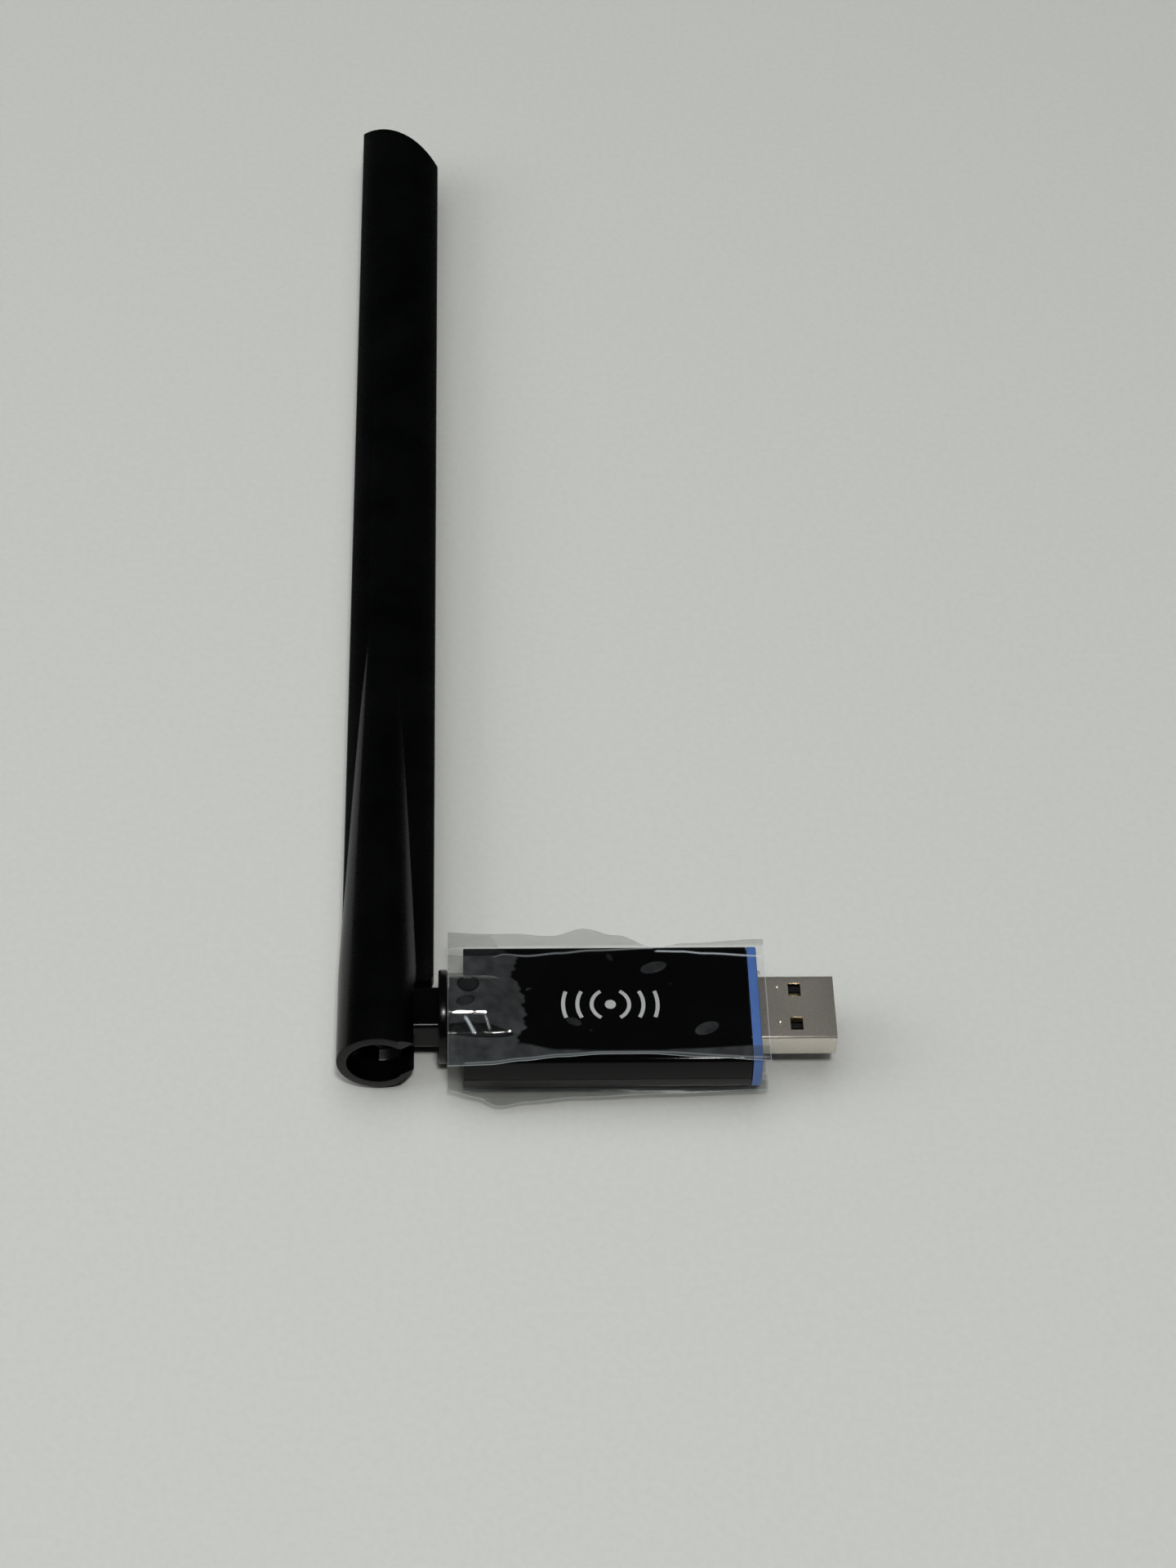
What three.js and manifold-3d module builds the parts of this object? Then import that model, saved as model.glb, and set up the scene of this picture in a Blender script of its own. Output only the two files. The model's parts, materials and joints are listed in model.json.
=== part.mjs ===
// A USB wifi adapter: a slim plug-in body, a swivel knuckle in its end and a long blade antenna on that.
// Millimetres, +Z up. X runs along the body towards the plug and Y along the folded antenna towards its tip.
// The model is drawn about the hinge centre, where the swivel axis (X) meets the tilt axis (Z).
import * as THREE from "three";
import { mergeVertices } from "three/addons/utils/BufferGeometryUtils.js";
import Module from "manifold-3d";

const wasm = await Module();
wasm.setup();

// ---- Driving dimensions ----

const gap = 0.3; // between two pieces that touch
const runningGap = 0.35; // between two pieces that turn in each other

// Body
const bodyLength = 44.2;
const bodyWidth = 22.8; // at the parting line, where the drafted sides are widest
const bodyDraft = 0.4; // the sides lean in by this much at the top and bottom faces
const bodyAbove = 3.5; // top face above the swivel axis
const bodyBelow = 3.9; // bottom face below the swivel axis
const bodyEdge = 0.9; // rounding of the long edges
const partingHeight = -0.9; // the covers meet at this height
const coverWall = 1.2;
const endWall = 1.5; // carries the swivel bearing
const bezelThickness = 1.3;
const bezelLip = 1.6; // the bezel's collar reaches this far into the covers

// USB plug
const plugWidth = 12.0;
const plugHeight = 4.5;
const plugWall = 0.3;
const plugCorner = 0.5;
const plugOut = 11.8; // from the bezel's face to the plug's tip
const plugInside = 7.0; // the part of the shell held behind the bezel's face
const plugCentreHeight = -0.1;
const plugNeck = 0.05; // the shell is drawn in by this much where it enters the bezel
const plugNeckOut = 0.1; // the neck begins this far outside the bezel's face
const plugOpeningGap = 0.3;
const windowLength = 1.95;
const windowWidth = 2.5;
const windowSpacing = 6.5; // between the centres of the two windows of a face
const windowFromTip = 5.16; // from the plug's tip to a window's near edge
const insulatorThickness = 1.9;
const insulatorSetBack = 1.2;
const contactWidth = 1.0;
const contactThickness = 0.3;
const contactOuterSpacing = 7.0;
const contactInnerSpacing = 2.0;
const contactTail = 1.8; // lies on the circuit board behind the insulator
const contactOuterSetBack = 1.4; // from the insulator's front to the two power contacts
const contactInnerSetBack = 2.4; // and to the two data contacts

// Circuit board
const boardThickness = 1.0;
const boardSideGap = 1.0;
const boardStart = 7.6; // from the body's swivel end
const canLength = 15.0;
const canWidth = 14.0;
const canHeight = 1.9;
const canWall = 0.3;
const supportRadius = 1.1;
const supportSideGap = 2.4; // from a support's centre to the cavity's side

// Swivel knuckle
const flangeRadius = 7.3;
const flangeThickness = 1.4;
const flangeFromPivot = 9.3; // from the tilt axis to the flange's near face
const tongueWidth = 7.9;
const tongueThickness = 5.9;
const tongueEdge = 0.9;
const trunnionRadius = 1.8;
const trunnionLength = 1.95;
const hingeWasherThickness = 0.6;
const hingeWasherRadius = 2.95;
const barrelRadius = 6.5;
const barrelOut = 2.1; // the barrel stands out of the body's end by this much
const spigotRadius = 4.6;
const shaftRadius = 3.0;
const frictionRingThickness = 0.6;
const clipThickness = 0.8;
const clipRadius = 4.4;
const clipGrooveDepth = 0.7;
const stopThickness = 1.0;
const stopRadius = 4.3;
const stopWidth = 1.6;
const fairingFull = 3.4; // the fairing keeps the barrel's radius this far into the body
const fairingFade = 6.5; // and then falls to the body's faces over this length

// Antenna
const antennaLength = 212.3; // from the tilt axis to the tip
const bladeWidth = 14.5;
const bladeOffset = 1.25; // the blade's centre line lies this far from the tube's, on the body's side
const bladeThickness = 7.4;
const bladeEdgeThickness = 3.2;
const bladeStart = 5.2; // from the tilt axis to the blade's wing end
const tipDrop = 11.3; // the slanted tip is this much shorter on the body's side
const tipCorner = 1.5; // rounding of the tip's long corner
const wingCorner = 2.1; // rounding of the wing's end beside the tube
const tubeRadius = 6.4;
const tubeBore = 4.85; // clears the tongue and holds the hinge washers
const tubeEnd = 8.7; // from the tilt axis to the tube's open end
const tubeLength = 16.5; // the full-radius stretch of the tube, from its open end
const coneEnd = 100; // the cone has sunk into the blade here
const coneEndRadius = 3.2;
const shellWall = 1.5;
const shellPocketStart = 18;
const shellPocketEnd = 196;
const sightWindowLength = 1.8; // a small opening in the tube's underside
const sightWindowWidth = 3.0;

// Antenna board and lead
const antennaBoardWidth = 7.6;
const antennaBoardLength = 160;
const antennaBoardStart = 24;
const antennaBoardThickness = 0.6;
const antennaBoardHeight = -0.4; // its top face
const copperThickness = 0.25;
const copperArmLength = 62;
const copperArmGap = 3.0; // between the two arms, at the feed
const leadDiameter = 1.13;
const leadBore = 2.1;
const leadFromPivot = 1.0; // each half of the lead stops this far from the tilt axis

// Protective films
const filmThickness = 0.25;
const filmWidth = 23.6;

// ---- Places worked out from the driving dimensions ----

const flangeStart = flangeFromPivot;
const flangeEnd = flangeStart + flangeThickness;
const barrelStart = flangeEnd + gap;
const bodyStart = barrelStart + barrelOut;
const bodyEnd = bodyStart + bodyLength;
const bezelFace = bodyEnd + gap + bezelThickness;
const plugTip = bezelFace + plugOut;
const plugBack = bezelFace - plugInside;
const filmLength = bezelFace - barrelStart;
const cavityStart = bodyStart + endWall;
const cavityFloor = -bodyBelow + coverWall;
const cavityCeiling = bodyAbove - coverWall;
const cavityHalfWidth = bodyWidth / 2 - bodyDraft - coverWall;
const insulatorBottom = plugCentreHeight - plugHeight / 2 + plugWall + gap;
const insulatorTop = insulatorBottom + insulatorThickness;
const contactBottom = insulatorTop - contactThickness;
const boardTop = contactBottom - gap;
const boardBottom = boardTop - boardThickness;
const boardX0 = bodyStart + boardStart;
const boardX1 = plugBack - gap;
const componentFloor = boardTop + gap;
const spigotBore = spigotRadius + gap;
const shaftBore = shaftRadius + gap;
const clipStart = cavityStart + gap;
const clipEnd = clipStart + clipThickness;
const stopStart = clipEnd + 2 * gap;
const stopEnd = stopStart + stopThickness;
const pocketEnd = stopEnd + gap;
const leadSplit = bodyStart - 0.1; // the lead turns on the swivel axis here
const trunnionTop = tongueThickness / 2 + trunnionLength;
const slotHalfHeight = tongueThickness / 2 + runningGap;
const endRelief = flangeFromPivot - gap;
const bladeLeft = bladeOffset - bladeWidth / 2;
const bladeRight = bladeOffset + bladeWidth / 2;

// ---- Materials ----

function finish(color, roughness, metalness = 0) {
  return new THREE.MeshStandardMaterial({ color, roughness, metalness });
}

const glossyBlack = finish(0x0a0b0b, 0.12);
const satinBlack = finish(0x141716, 0.4);
const blueTrim = finish(0x36537f, 0.45);
const nickel = finish(0xb9b4a8, 0.28, 1);
const spring = finish(0xa8aaad, 0.35, 1);
const brass = finish(0xc79a4b, 0.3, 1);
const gold = finish(0xd9b45c, 0.25, 1);
const copper = finish(0xb87348, 0.35, 1);
const ceramic = finish(0xcfc0a4, 0.5);
const greyPlastic = finish(0x2b2d2f, 0.55);
const boardGreen = finish(0x1f5a3a, 0.45);
const leadGrey = finish(0x3a3a3c, 0.5);
const clearFilm = finish(0xdfe6ea, 0.08);

// ---- Solids ----

// A closed three.js geometry as a manifold-3d solid.
function solid(geometry) {
  const bare = geometry.clone();
  bare.deleteAttribute("normal");
  bare.deleteAttribute("uv");
  const merged = mergeVertices(bare, 1e-4);
  const vertProperties = new Float32Array(merged.attributes.position.array);
  const triVerts = new Uint32Array(merged.index.array);
  return new wasm.Manifold(new wasm.Mesh({ numProp: 3, vertProperties, triVerts }));
}

// A box between two heights on each axis.
function block(x0, x1, y0, y1, z0, z1) {
  const geometry = new THREE.BoxGeometry(x1 - x0, y1 - y0, z1 - z0);
  geometry.translate((x0 + x1) / 2, (y0 + y1) / 2, (z0 + z1) / 2);
  return solid(geometry);
}

// Turns a geometry drawn along +Y so that it runs along another axis.
function alongAxis(geometry, axis) {
  if (axis === "x") geometry.rotateZ(-Math.PI / 2);
  if (axis === "z") geometry.rotateX(Math.PI / 2);
  return geometry;
}

// A round bar along an axis through (a, b), the other two coordinates in the order x, y, z.
function bar(axis, radius, from, to, a = 0, b = 0, sides = 36) {
  const geometry = new THREE.CylinderGeometry(radius, radius, to - from, sides);
  alongAxis(geometry, axis);
  const middle = (from + to) / 2;
  if (axis === "x") geometry.translate(middle, a, b);
  if (axis === "y") geometry.translate(a, middle, b);
  if (axis === "z") geometry.translate(a, b, middle);
  return solid(geometry);
}

// A turned piece: each point is [radius, place along the axis], from the low end to the high end.
function turned(axis, points, sides = 48) {
  const profile = points.map(([radius, along]) => new THREE.Vector2(radius, along));
  return solid(alongAxis(new THREE.LatheGeometry(profile, sides), axis));
}

// A flat ring about an axis.
function ring(axis, inner, outer, from, to) {
  const profile = [
    [inner, from],
    [outer, from],
    [outer, to],
    [inner, to],
    [inner, from],
  ];
  return turned(axis, profile, 40);
}

// An outline of corners [u, v, radius], each rounded by its own radius.
function roundedOutline(corners) {
  const outline = new THREE.Shape();
  const places = corners.map(([u, v]) => new THREE.Vector2(u, v));
  corners.forEach(([u, v, radius], i) => {
    const before = places.at(i - 1).clone().sub(places[i]).setLength(radius);
    const after = places[(i + 1) % places.length].clone().sub(places[i]).setLength(radius);
    if (i === 0) outline.moveTo(u + before.x, v + before.y);
    else outline.lineTo(u + before.x, v + before.y);
    outline.quadraticCurveTo(u, v, u + after.x, v + after.y);
  });
  outline.closePath();
  return outline;
}

// A rectangle about (u, v) with round corners.
function rectangle(width, height, radius, u = 0, v = 0) {
  const right = u + width / 2;
  const top = v + height / 2;
  return roundedOutline([
    [right, top, radius],
    [right - width, top, radius],
    [right - width, top - height, radius],
    [right, top - height, radius],
  ]);
}

// An outline drawn in (y, z), (z, x) or (x, y) and extruded along x, y or z.
function prism(axis, outline, from, to, curveSegments = 6) {
  const settings = { depth: to - from, bevelEnabled: false, curveSegments };
  const geometry = new THREE.ExtrudeGeometry(outline, settings);
  geometry.translate(0, 0, from);
  const x = new THREE.Vector3(1, 0, 0);
  const y = new THREE.Vector3(0, 1, 0);
  const z = new THREE.Vector3(0, 0, 1);
  const frames = { x: [y, z, x], y: [z, x, y], z: [x, y, z] };
  geometry.applyMatrix4(new THREE.Matrix4().makeBasis(...frames[axis]));
  return solid(geometry);
}

// A round lead along a smooth curve through its points.
function lead(points) {
  const curve = new THREE.CatmullRomCurve3(points.map((p) => new THREE.Vector3(...p)));
  const steps = Math.max(6, Math.round(curve.getLength() / (2.5 * leadDiameter)));
  const section = new THREE.Shape();
  section.absarc(0, 0, leadDiameter / 2, 0, 2 * Math.PI);
  const settings = { steps, extrudePath: curve, bevelEnabled: false, curveSegments: 4 };
  return solid(new THREE.ExtrudeGeometry(section, settings));
}

const group = new THREE.Group();

// Puts a finished solid in the group as a named mesh.
function piece(name, shape, material) {
  const { vertProperties, triVerts } = shape.getMesh();
  const geometry = new THREE.BufferGeometry();
  geometry.setAttribute("position", new THREE.BufferAttribute(vertProperties, 3));
  geometry.setIndex(new THREE.BufferAttribute(triVerts, 1));
  geometry.computeVertexNormals();
  const mesh = new THREE.Mesh(geometry, material);
  mesh.name = name;
  group.add(mesh);
}

// ---- Body covers ----

// The body's drafted section, moved in on every side by an inset.
function bodySection(inset) {
  const half = bodyWidth / 2 - inset;
  const edge = Math.max(bodyEdge - inset, 0.2);
  return roundedOutline([
    [half - bodyDraft, bodyAbove - inset, edge],
    [bodyDraft - half, bodyAbove - inset, edge],
    [-half, partingHeight, 0.1],
    [bodyDraft - half, inset - bodyBelow, edge],
    [half - bodyDraft, inset - bodyBelow, edge],
    [half, partingHeight, 0.1],
  ]);
}

// The barrel and the fairing that sinks from it into the body's top and bottom faces.
function barrelFairing() {
  const full = bodyStart + fairingFull;
  const lowRadius = bodyAbove - 0.2;
  const profile = [
    [0, barrelStart],
    [barrelRadius - 0.3, barrelStart],
    [barrelRadius, barrelStart + 0.3],
  ];
  const steps = 8;
  for (let i = 0; i <= steps; i += 1) {
    const t = i / steps;
    const ease = t * t * (3 - 2 * t);
    profile.push([barrelRadius + (lowRadius - barrelRadius) * ease, full + fairingFade * t]);
  }
  profile.push([0, full + fairingFade]);
  return turned("x", profile);
}

// The body with its bearing bores and its cavity, before it is parted into two covers.
function bodyCase() {
  const outer = prism("x", bodySection(0), bodyStart, bodyEnd).add(barrelFairing());
  const cavity = prism("x", bodySection(coverWall), cavityStart, bodyEnd + 1);
  const plugRoom = rectangle(plugWidth + 2 * gap, plugHeight + 2 * gap, plugCorner, 0, plugCentreHeight);
  return outer
    .subtract(cavity)
    .subtract(prism("x", plugRoom, plugBack - gap, bodyEnd + 1))
    .subtract(bar("x", spigotBore, barrelStart - 1, bodyStart))
    .subtract(bar("x", shaftBore, barrelStart, cavityStart + 1))
    .subtract(bar("x", spigotBore, cavityStart, pocketEnd));
}

// The half ring in the bottom cover that stops the swivel after half a turn.
function swivelStop() {
  const half = stopWidth / 2 + gap;
  const halfRing = ring("x", shaftBore, spigotBore + 0.2, stopStart, stopEnd);
  return halfRing.intersect(block(stopStart, stopEnd, -bodyWidth, bodyWidth, -bodyBelow - 3, -half));
}

const supportsX = [boardX0 + 2.2, boardX1 - 3.0];
const supportsY = [supportSideGap - cavityHalfWidth, cavityHalfWidth - supportSideGap];

// Four posts that hold the circuit board, from a cover's inner face to just off the board.
function boardSupports(from, to) {
  const posts = supportsX.flatMap((x) => supportsY.map((y) => bar("z", supportRadius, from, to, x, y, 16)));
  return posts.reduce((sum, post) => sum.add(post));
}

const wide = 2 * bodyLength;
const caseSolid = bodyCase();
const topHalf = block(0, wide, -wide, wide, partingHeight + gap / 2, wide);
const bottomHalf = block(0, wide, -wide, wide, -wide, partingHeight - gap / 2);
const topPosts = boardSupports(boardTop + gap, cavityCeiling + 0.3);
const bottomPosts = boardSupports(cavityFloor - 0.3, boardBottom - gap);
piece("top_cover", caseSolid.intersect(topHalf).add(topPosts), glossyBlack);
piece("bottom_cover", caseSolid.intersect(bottomHalf).add(swivelStop()).add(bottomPosts), glossyBlack);

// ---- End bezel and USB plug ----

function endBezel() {
  const plate = prism("x", bodySection(0), bodyEnd + gap, bezelFace);
  const collar = prism("x", bodySection(coverWall + gap), bodyEnd - bezelLip, bezelFace - 0.5);
  const collarHollow = prism("x", bodySection(2 * coverWall + gap), bodyEnd - bezelLip - 1, bodyEnd + gap);
  const opening = rectangle(
    plugWidth + 2 * plugOpeningGap,
    plugHeight + 2 * plugOpeningGap,
    plugCorner + plugOpeningGap,
    0,
    plugCentreHeight,
  );
  return plate.add(collar).subtract(collarHollow).subtract(prism("x", opening, bodyStart, plugTip));
}

function usbShell() {
  const outer = rectangle(plugWidth, plugHeight, plugCorner, 0, plugCentreHeight);
  const inner = rectangle(
    plugWidth - 2 * plugWall,
    plugHeight - 2 * plugWall,
    plugCorner - plugWall / 2,
    0,
    plugCentreHeight,
  );
  const windowEnd = plugTip - windowFromTip;
  const windows = [-1, 1].map((side) => {
    const y = (side * windowSpacing) / 2;
    return block(
      windowEnd - windowLength,
      windowEnd,
      y - windowWidth / 2,
      y + windowWidth / 2,
      plugCentreHeight - plugHeight,
      plugCentreHeight + plugHeight,
    );
  });
  const neck = rectangle(
    plugWidth - 2 * plugNeck,
    plugHeight - 2 * plugNeck,
    plugCorner,
    0,
    plugCentreHeight,
  );
  return prism("x", outer, bezelFace + plugNeckOut, plugTip)
    .add(prism("x", neck, plugBack, plugTip - 1))
    .subtract(prism("x", inner, plugBack - 1, plugTip + 1))
    .subtract(windows[0])
    .subtract(windows[1]);
}

const contactPlaces = [
  -contactOuterSpacing / 2,
  -contactInnerSpacing / 2,
  contactInnerSpacing / 2,
  contactOuterSpacing / 2,
];

function usbInsulator() {
  const half = plugWidth / 2 - plugWall - gap;
  const front = plugTip - insulatorSetBack;
  const tongue = block(plugBack + gap, front, -half, half, insulatorBottom, insulatorTop);
  const grooves = contactPlaces.map((y) => {
    const side = contactWidth / 2 + gap;
    return block(plugBack - 1, front - 0.8, y - side, y + side, boardTop, insulatorTop + 1);
  });
  return grooves.reduce((sum, groove) => sum.subtract(groove), tongue);
}

function usbContact(y, index) {
  const isOuter = index === 0 || index === contactPlaces.length - 1;
  const front = plugTip - insulatorSetBack - (isOuter ? contactOuterSetBack : contactInnerSetBack);
  const side = contactWidth / 2;
  return block(plugBack - contactTail, front, y - side, y + side, contactBottom, insulatorTop);
}

piece("end_bezel", endBezel(), blueTrim);
piece("usb_shell", usbShell(), nickel);
piece("usb_insulator", usbInsulator(), greyPlastic);
contactPlaces.forEach((y, i) => piece(`usb_contact_${i + 1}`, usbContact(y, i), gold));

// ---- Circuit board ----

const canStart = boardX0 + 5.4;
const canEnd = canStart + canLength;
const lowProfile = 0.8;

// A component that stands on the circuit board, centred at (x, y).
function component(x, y, length, width, height) {
  const side = width / 2;
  return block(x - length / 2, x + length / 2, y - side, y + side, componentFloor, componentFloor + height);
}

function circuitBoard() {
  const half = cavityHalfWidth - boardSideGap;
  const outline = rectangle(boardX1 - boardX0, 2 * half, 1.0, (boardX0 + boardX1) / 2, 0);
  return prism("z", outline, boardBottom, boardTop);
}

function shieldCan() {
  const middle = (canStart + canEnd) / 2;
  const outer = component(middle, 0, canLength, canWidth, canHeight);
  const inner = block(
    canStart + canWall,
    canEnd - canWall,
    canWall - canWidth / 2,
    canWidth / 2 - canWall,
    componentFloor - 1,
    componentFloor + canHeight - canWall,
  );
  return outer.subtract(inner);
}

const connectorX = boardX0 + 2.6;
const connectorY = supportsY[1] - 3.2;

function coaxConnector() {
  const base = component(connectorX, connectorY, 2.6, 2.6, 0.5);
  return base.add(bar("z", 1.0, componentFloor + 0.4, componentFloor + 1.4, connectorX, connectorY, 24));
}

piece("circuit_board", circuitBoard(), boardGreen);
piece("shield_can", shieldCan(), spring);
piece("radio_chip", component((canStart + canEnd) / 2 - 2, 0, 7, 7, lowProfile), greyPlastic);
piece("memory_chip", component(canEnd + 3.4, -4.2, 3.9, 4.9, 1.2), greyPlastic);
piece("crystal", component(canStart + 11.6, 3.6, 3.2, 2.5, lowProfile), spring);
piece("voltage_regulator", component(canEnd + 3.2, 5.0, 2.9, 1.6, 1.0), greyPlastic);
piece("power_inductor", component(canEnd + 3.0, 1.2, 3.0, 3.0, 1.2), greyPlastic);
piece("coax_connector", coaxConnector(), gold);
[5.2, 3.0].map((fromSupport) => supportsY[0] + fromSupport).forEach((y, i) => {
  piece(`antenna_match_part_${i + 1}`, component(canStart - 1.6, y, 1.0, 1.6, 0.6), ceramic);
});

// ---- Swivel knuckle ----

const frictionRingStart = bodyStart - gap - frictionRingThickness;
const shoulderEnd = frictionRingStart - gap;
const shaftEnd = stopEnd;

// The tongue in plan: a straight bar from the flange with a round end about the tilt axis.
function tonguePlan() {
  const half = tongueWidth / 2;
  const root = flangeStart + 0.2;
  const plan = new THREE.Shape();
  plan.moveTo(root, -half);
  plan.lineTo(root, half);
  plan.absarc(0, 0, half, Math.PI / 2, (3 * Math.PI) / 2, false);
  plan.closePath();
  return plan;
}

function tongue() {
  const height = tongueThickness / 2;
  const section = rectangle(tongueWidth, tongueThickness, tongueEdge);
  return prism("z", tonguePlan(), -height, height, 20).intersect(
    prism("x", section, -tongueWidth, flangeEnd),
  );
}

// The slot through which the lead leaves the tongue, as the antenna goes from folded to straight.
function leadSlot() {
  const half = leadBore / 2;
  const reach = tongueWidth;
  const open = new THREE.Shape();
  open.moveTo(half, 0);
  open.lineTo(half, reach);
  open.lineTo(-reach, reach);
  open.lineTo(-reach, -half);
  open.lineTo(0, -half);
  open.closePath();
  return prism("z", open, -half, half);
}

function swivelKnuckle() {
  const grooveRadius = shaftRadius - clipGrooveDepth;
  const turnedPart = turned("x", [
    [0, flangeStart],
    [flangeRadius - 0.25, flangeStart],
    [flangeRadius, flangeStart + 0.25],
    [flangeRadius, flangeEnd - 0.25],
    [flangeRadius - 0.25, flangeEnd],
    [spigotRadius, flangeEnd],
    [spigotRadius, shoulderEnd],
    [shaftRadius, shoulderEnd],
    [shaftRadius, clipStart - gap],
    [grooveRadius, clipStart - gap],
    [grooveRadius, clipEnd + gap],
    [shaftRadius, clipEnd + gap],
    [shaftRadius, shaftEnd],
    [0, shaftEnd],
  ]);
  const stopLug = block(stopStart, stopEnd, 0, stopRadius, -stopWidth / 2, stopWidth / 2);
  return turnedPart
    .add(tongue())
    .add(bar("z", trunnionRadius, -trunnionTop, trunnionTop, 0, 0, 28))
    .add(stopLug)
    .subtract(bar("x", leadBore / 2, 0, shaftEnd + 1, 0, 0, 16))
    .subtract(leadSlot());
}

// A spring clip about the shaft: a ring with a mouth, so that it can be pushed into the groove.
function retainingClip() {
  const inner = shaftRadius - clipGrooveDepth + gap;
  const mouth = inner * 0.9;
  const whole = ring("x", inner, clipRadius, clipStart, clipEnd);
  return whole.subtract(block(clipStart - 1, clipEnd + 1, -mouth, mouth, 0, clipRadius + 1));
}

piece("swivel_knuckle", swivelKnuckle(), glossyBlack);
const frictionRing = ring("x", shaftBore, spigotRadius, frictionRingStart, bodyStart - gap);
piece("swivel_friction_ring", frictionRing, greyPlastic);
piece("retaining_clip", retainingClip(), spring);

const washerStart = tongueThickness / 2 + gap;
const washerEnd = washerStart + hingeWasherThickness;
const cheek = washerEnd + gap;
const washerBore = trunnionRadius + gap;
piece("hinge_washer_upper", ring("z", washerBore, hingeWasherRadius, washerStart, washerEnd), spring);
piece("hinge_washer_lower", ring("z", washerBore, hingeWasherRadius, -washerEnd, -washerStart), spring);

// ---- Antenna shells ----

// The blade in plan: its wing's end by the tube, straight sides, and the slanted, crowned tip.
function bladePlan(inset, start) {
  const left = bladeLeft + inset;
  const right = bladeRight - inset;
  const top = antennaLength - inset;
  const rightTop = antennaLength - tipDrop - inset;
  const lean = (right - left) / 3;
  const crest = left + tipCorner;
  const bend = rightTop + tipDrop / 2;
  const plan = new THREE.Shape();
  plan.moveTo(left, start);
  plan.lineTo(right - wingCorner, start);
  plan.quadraticCurveTo(right, start, right, start + wingCorner);
  plan.lineTo(right, rightTop);
  plan.bezierCurveTo(right - 0.14 * lean, bend, crest + lean, top - tipCorner, crest, top);
  plan.quadraticCurveTo(left + 0.1, top, left, top - tipCorner);
  plan.closePath();
  return plan;
}

// The blade's section in (z, x): two crowned faces with round edges.
function bladeSection(inset) {
  const edge = bladeEdgeThickness / 2;
  const crown = bladeThickness / 2 - edge;
  const half = bladeWidth / 2 - edge / 2;
  const radius = (half * half + crown * crown) / (2 * crown);
  const spread = Math.asin(half / radius);
  const low = bladeThickness / 2 - radius;
  const inner = radius - inset;
  const height = low + inner * Math.cos(spread);
  const reach = inner * Math.sin(spread);
  const bulge = bladeWidth / 2 - inset + edge / 2;
  const section = new THREE.Shape();
  section.absarc(low, bladeOffset, inner, spread, -spread, true);
  section.quadraticCurveTo(0, bladeOffset - bulge, -height, bladeOffset - reach);
  section.absarc(-low, bladeOffset, inner, Math.PI + spread, Math.PI - spread, true);
  section.quadraticCurveTo(0, bladeOffset + bulge, height, bladeOffset + reach);
  return section;
}

// The tube about the knuckle and the cone that sinks from it into the blade.
function tubeAndCone() {
  return turned("y", [
    [0, -tubeEnd],
    [tubeRadius, -tubeEnd],
    [tubeRadius, tubeLength - tubeEnd],
    [coneEndRadius, coneEnd],
    [0, coneEnd],
  ], 56);
}

// The room that the turning tongue sweeps, from the body's side round to the open end.
function tongueSweep() {
  const height = slotHalfHeight;
  const half = tongueWidth / 2 + runningGap;
  const far = 2 * tubeEnd;
  const side = block(0, far, -far, half, -height, height);
  return side.add(bar("z", half, -height, height, 0, 0, 40));
}

// What must be cut from the tube's end corner for it to pass the flange as the antenna tilts.
function cornerRelief() {
  const far = 2 * tubeEnd;
  return block(0, far, -far, 0, -far, far).subtract(bar("z", endRelief, -far, far, 0, 0, 96));
}

function shellPosts() {
  const count = 5;
  const span = antennaBoardLength - 20;
  const posts = [];
  for (let i = 0; i < count; i += 1) {
    const y = antennaBoardStart + 10 + (span * i) / (count - 1);
    const top = antennaBoardHeight - antennaBoardThickness - gap;
    posts.push(bar("z", supportRadius, -bladeThickness / 2 + 0.5, top, bladeOffset, y, 16));
  }
  return posts.reduce((sum, post) => sum.add(post));
}

function antennaCase() {
  const plan = prism("z", bladePlan(0, bladeStart), -bladeThickness, bladeThickness, 10);
  const blade = prism("y", bladeSection(0), bladeStart, antennaLength + 1, 14).intersect(plan);
  const pocketOutline = bladePlan(shellWall + gap, shellPocketStart);
  const pocketPlan = prism("z", pocketOutline, -bladeThickness, bladeThickness, 4);
  const pocketSection = prism("y", bladeSection(shellWall), shellPocketStart, shellPocketEnd, 4);
  const boreEnd = tongueWidth / 2 + runningGap;
  const bore = bar("y", tubeBore, -tubeEnd - 1, boreEnd, 0, 0, 40);
  const leadWay = bar("y", leadBore / 2, 0, shellPocketStart + 1, 0, 0, 16);
  const socket = bar("z", trunnionRadius + gap, -trunnionTop - gap, trunnionTop + gap, 0, 0, 28);
  const washerRoom = bar("z", hingeWasherRadius + gap, -cheek, cheek, 0, 0, 28);
  return tubeAndCone()
    .add(blade)
    .subtract(pocketPlan.intersect(pocketSection))
    .subtract(bore)
    .subtract(leadWay)
    .subtract(socket)
    .subtract(washerRoom)
    .subtract(tongueSweep())
    .subtract(cornerRelief());
}

// The small opening in the tube's underside, just before the knuckle.
function sightWindow() {
  const near = -tongueWidth / 2 - 0.6;
  return block(0, sightWindowWidth, near, near + sightWindowLength, -2 * tubeRadius, -slotHalfHeight);
}

const antennaSolid = antennaCase();
const all = 2 * antennaLength;
const frontHalf = block(-all, all, -all, all, gap / 2, all);
const backHalf = block(-all, all, -all, all, -all, -gap / 2);
piece("antenna_front_shell", antennaSolid.intersect(frontHalf), satinBlack);
const backShell = antennaSolid.intersect(backHalf).add(shellPosts()).subtract(sightWindow());
piece("antenna_back_shell", backShell, satinBlack);

// ---- Antenna board ----

const feedY = antennaBoardStart + antennaBoardLength / 2;
const boardUnderside = antennaBoardHeight - antennaBoardThickness;

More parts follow.
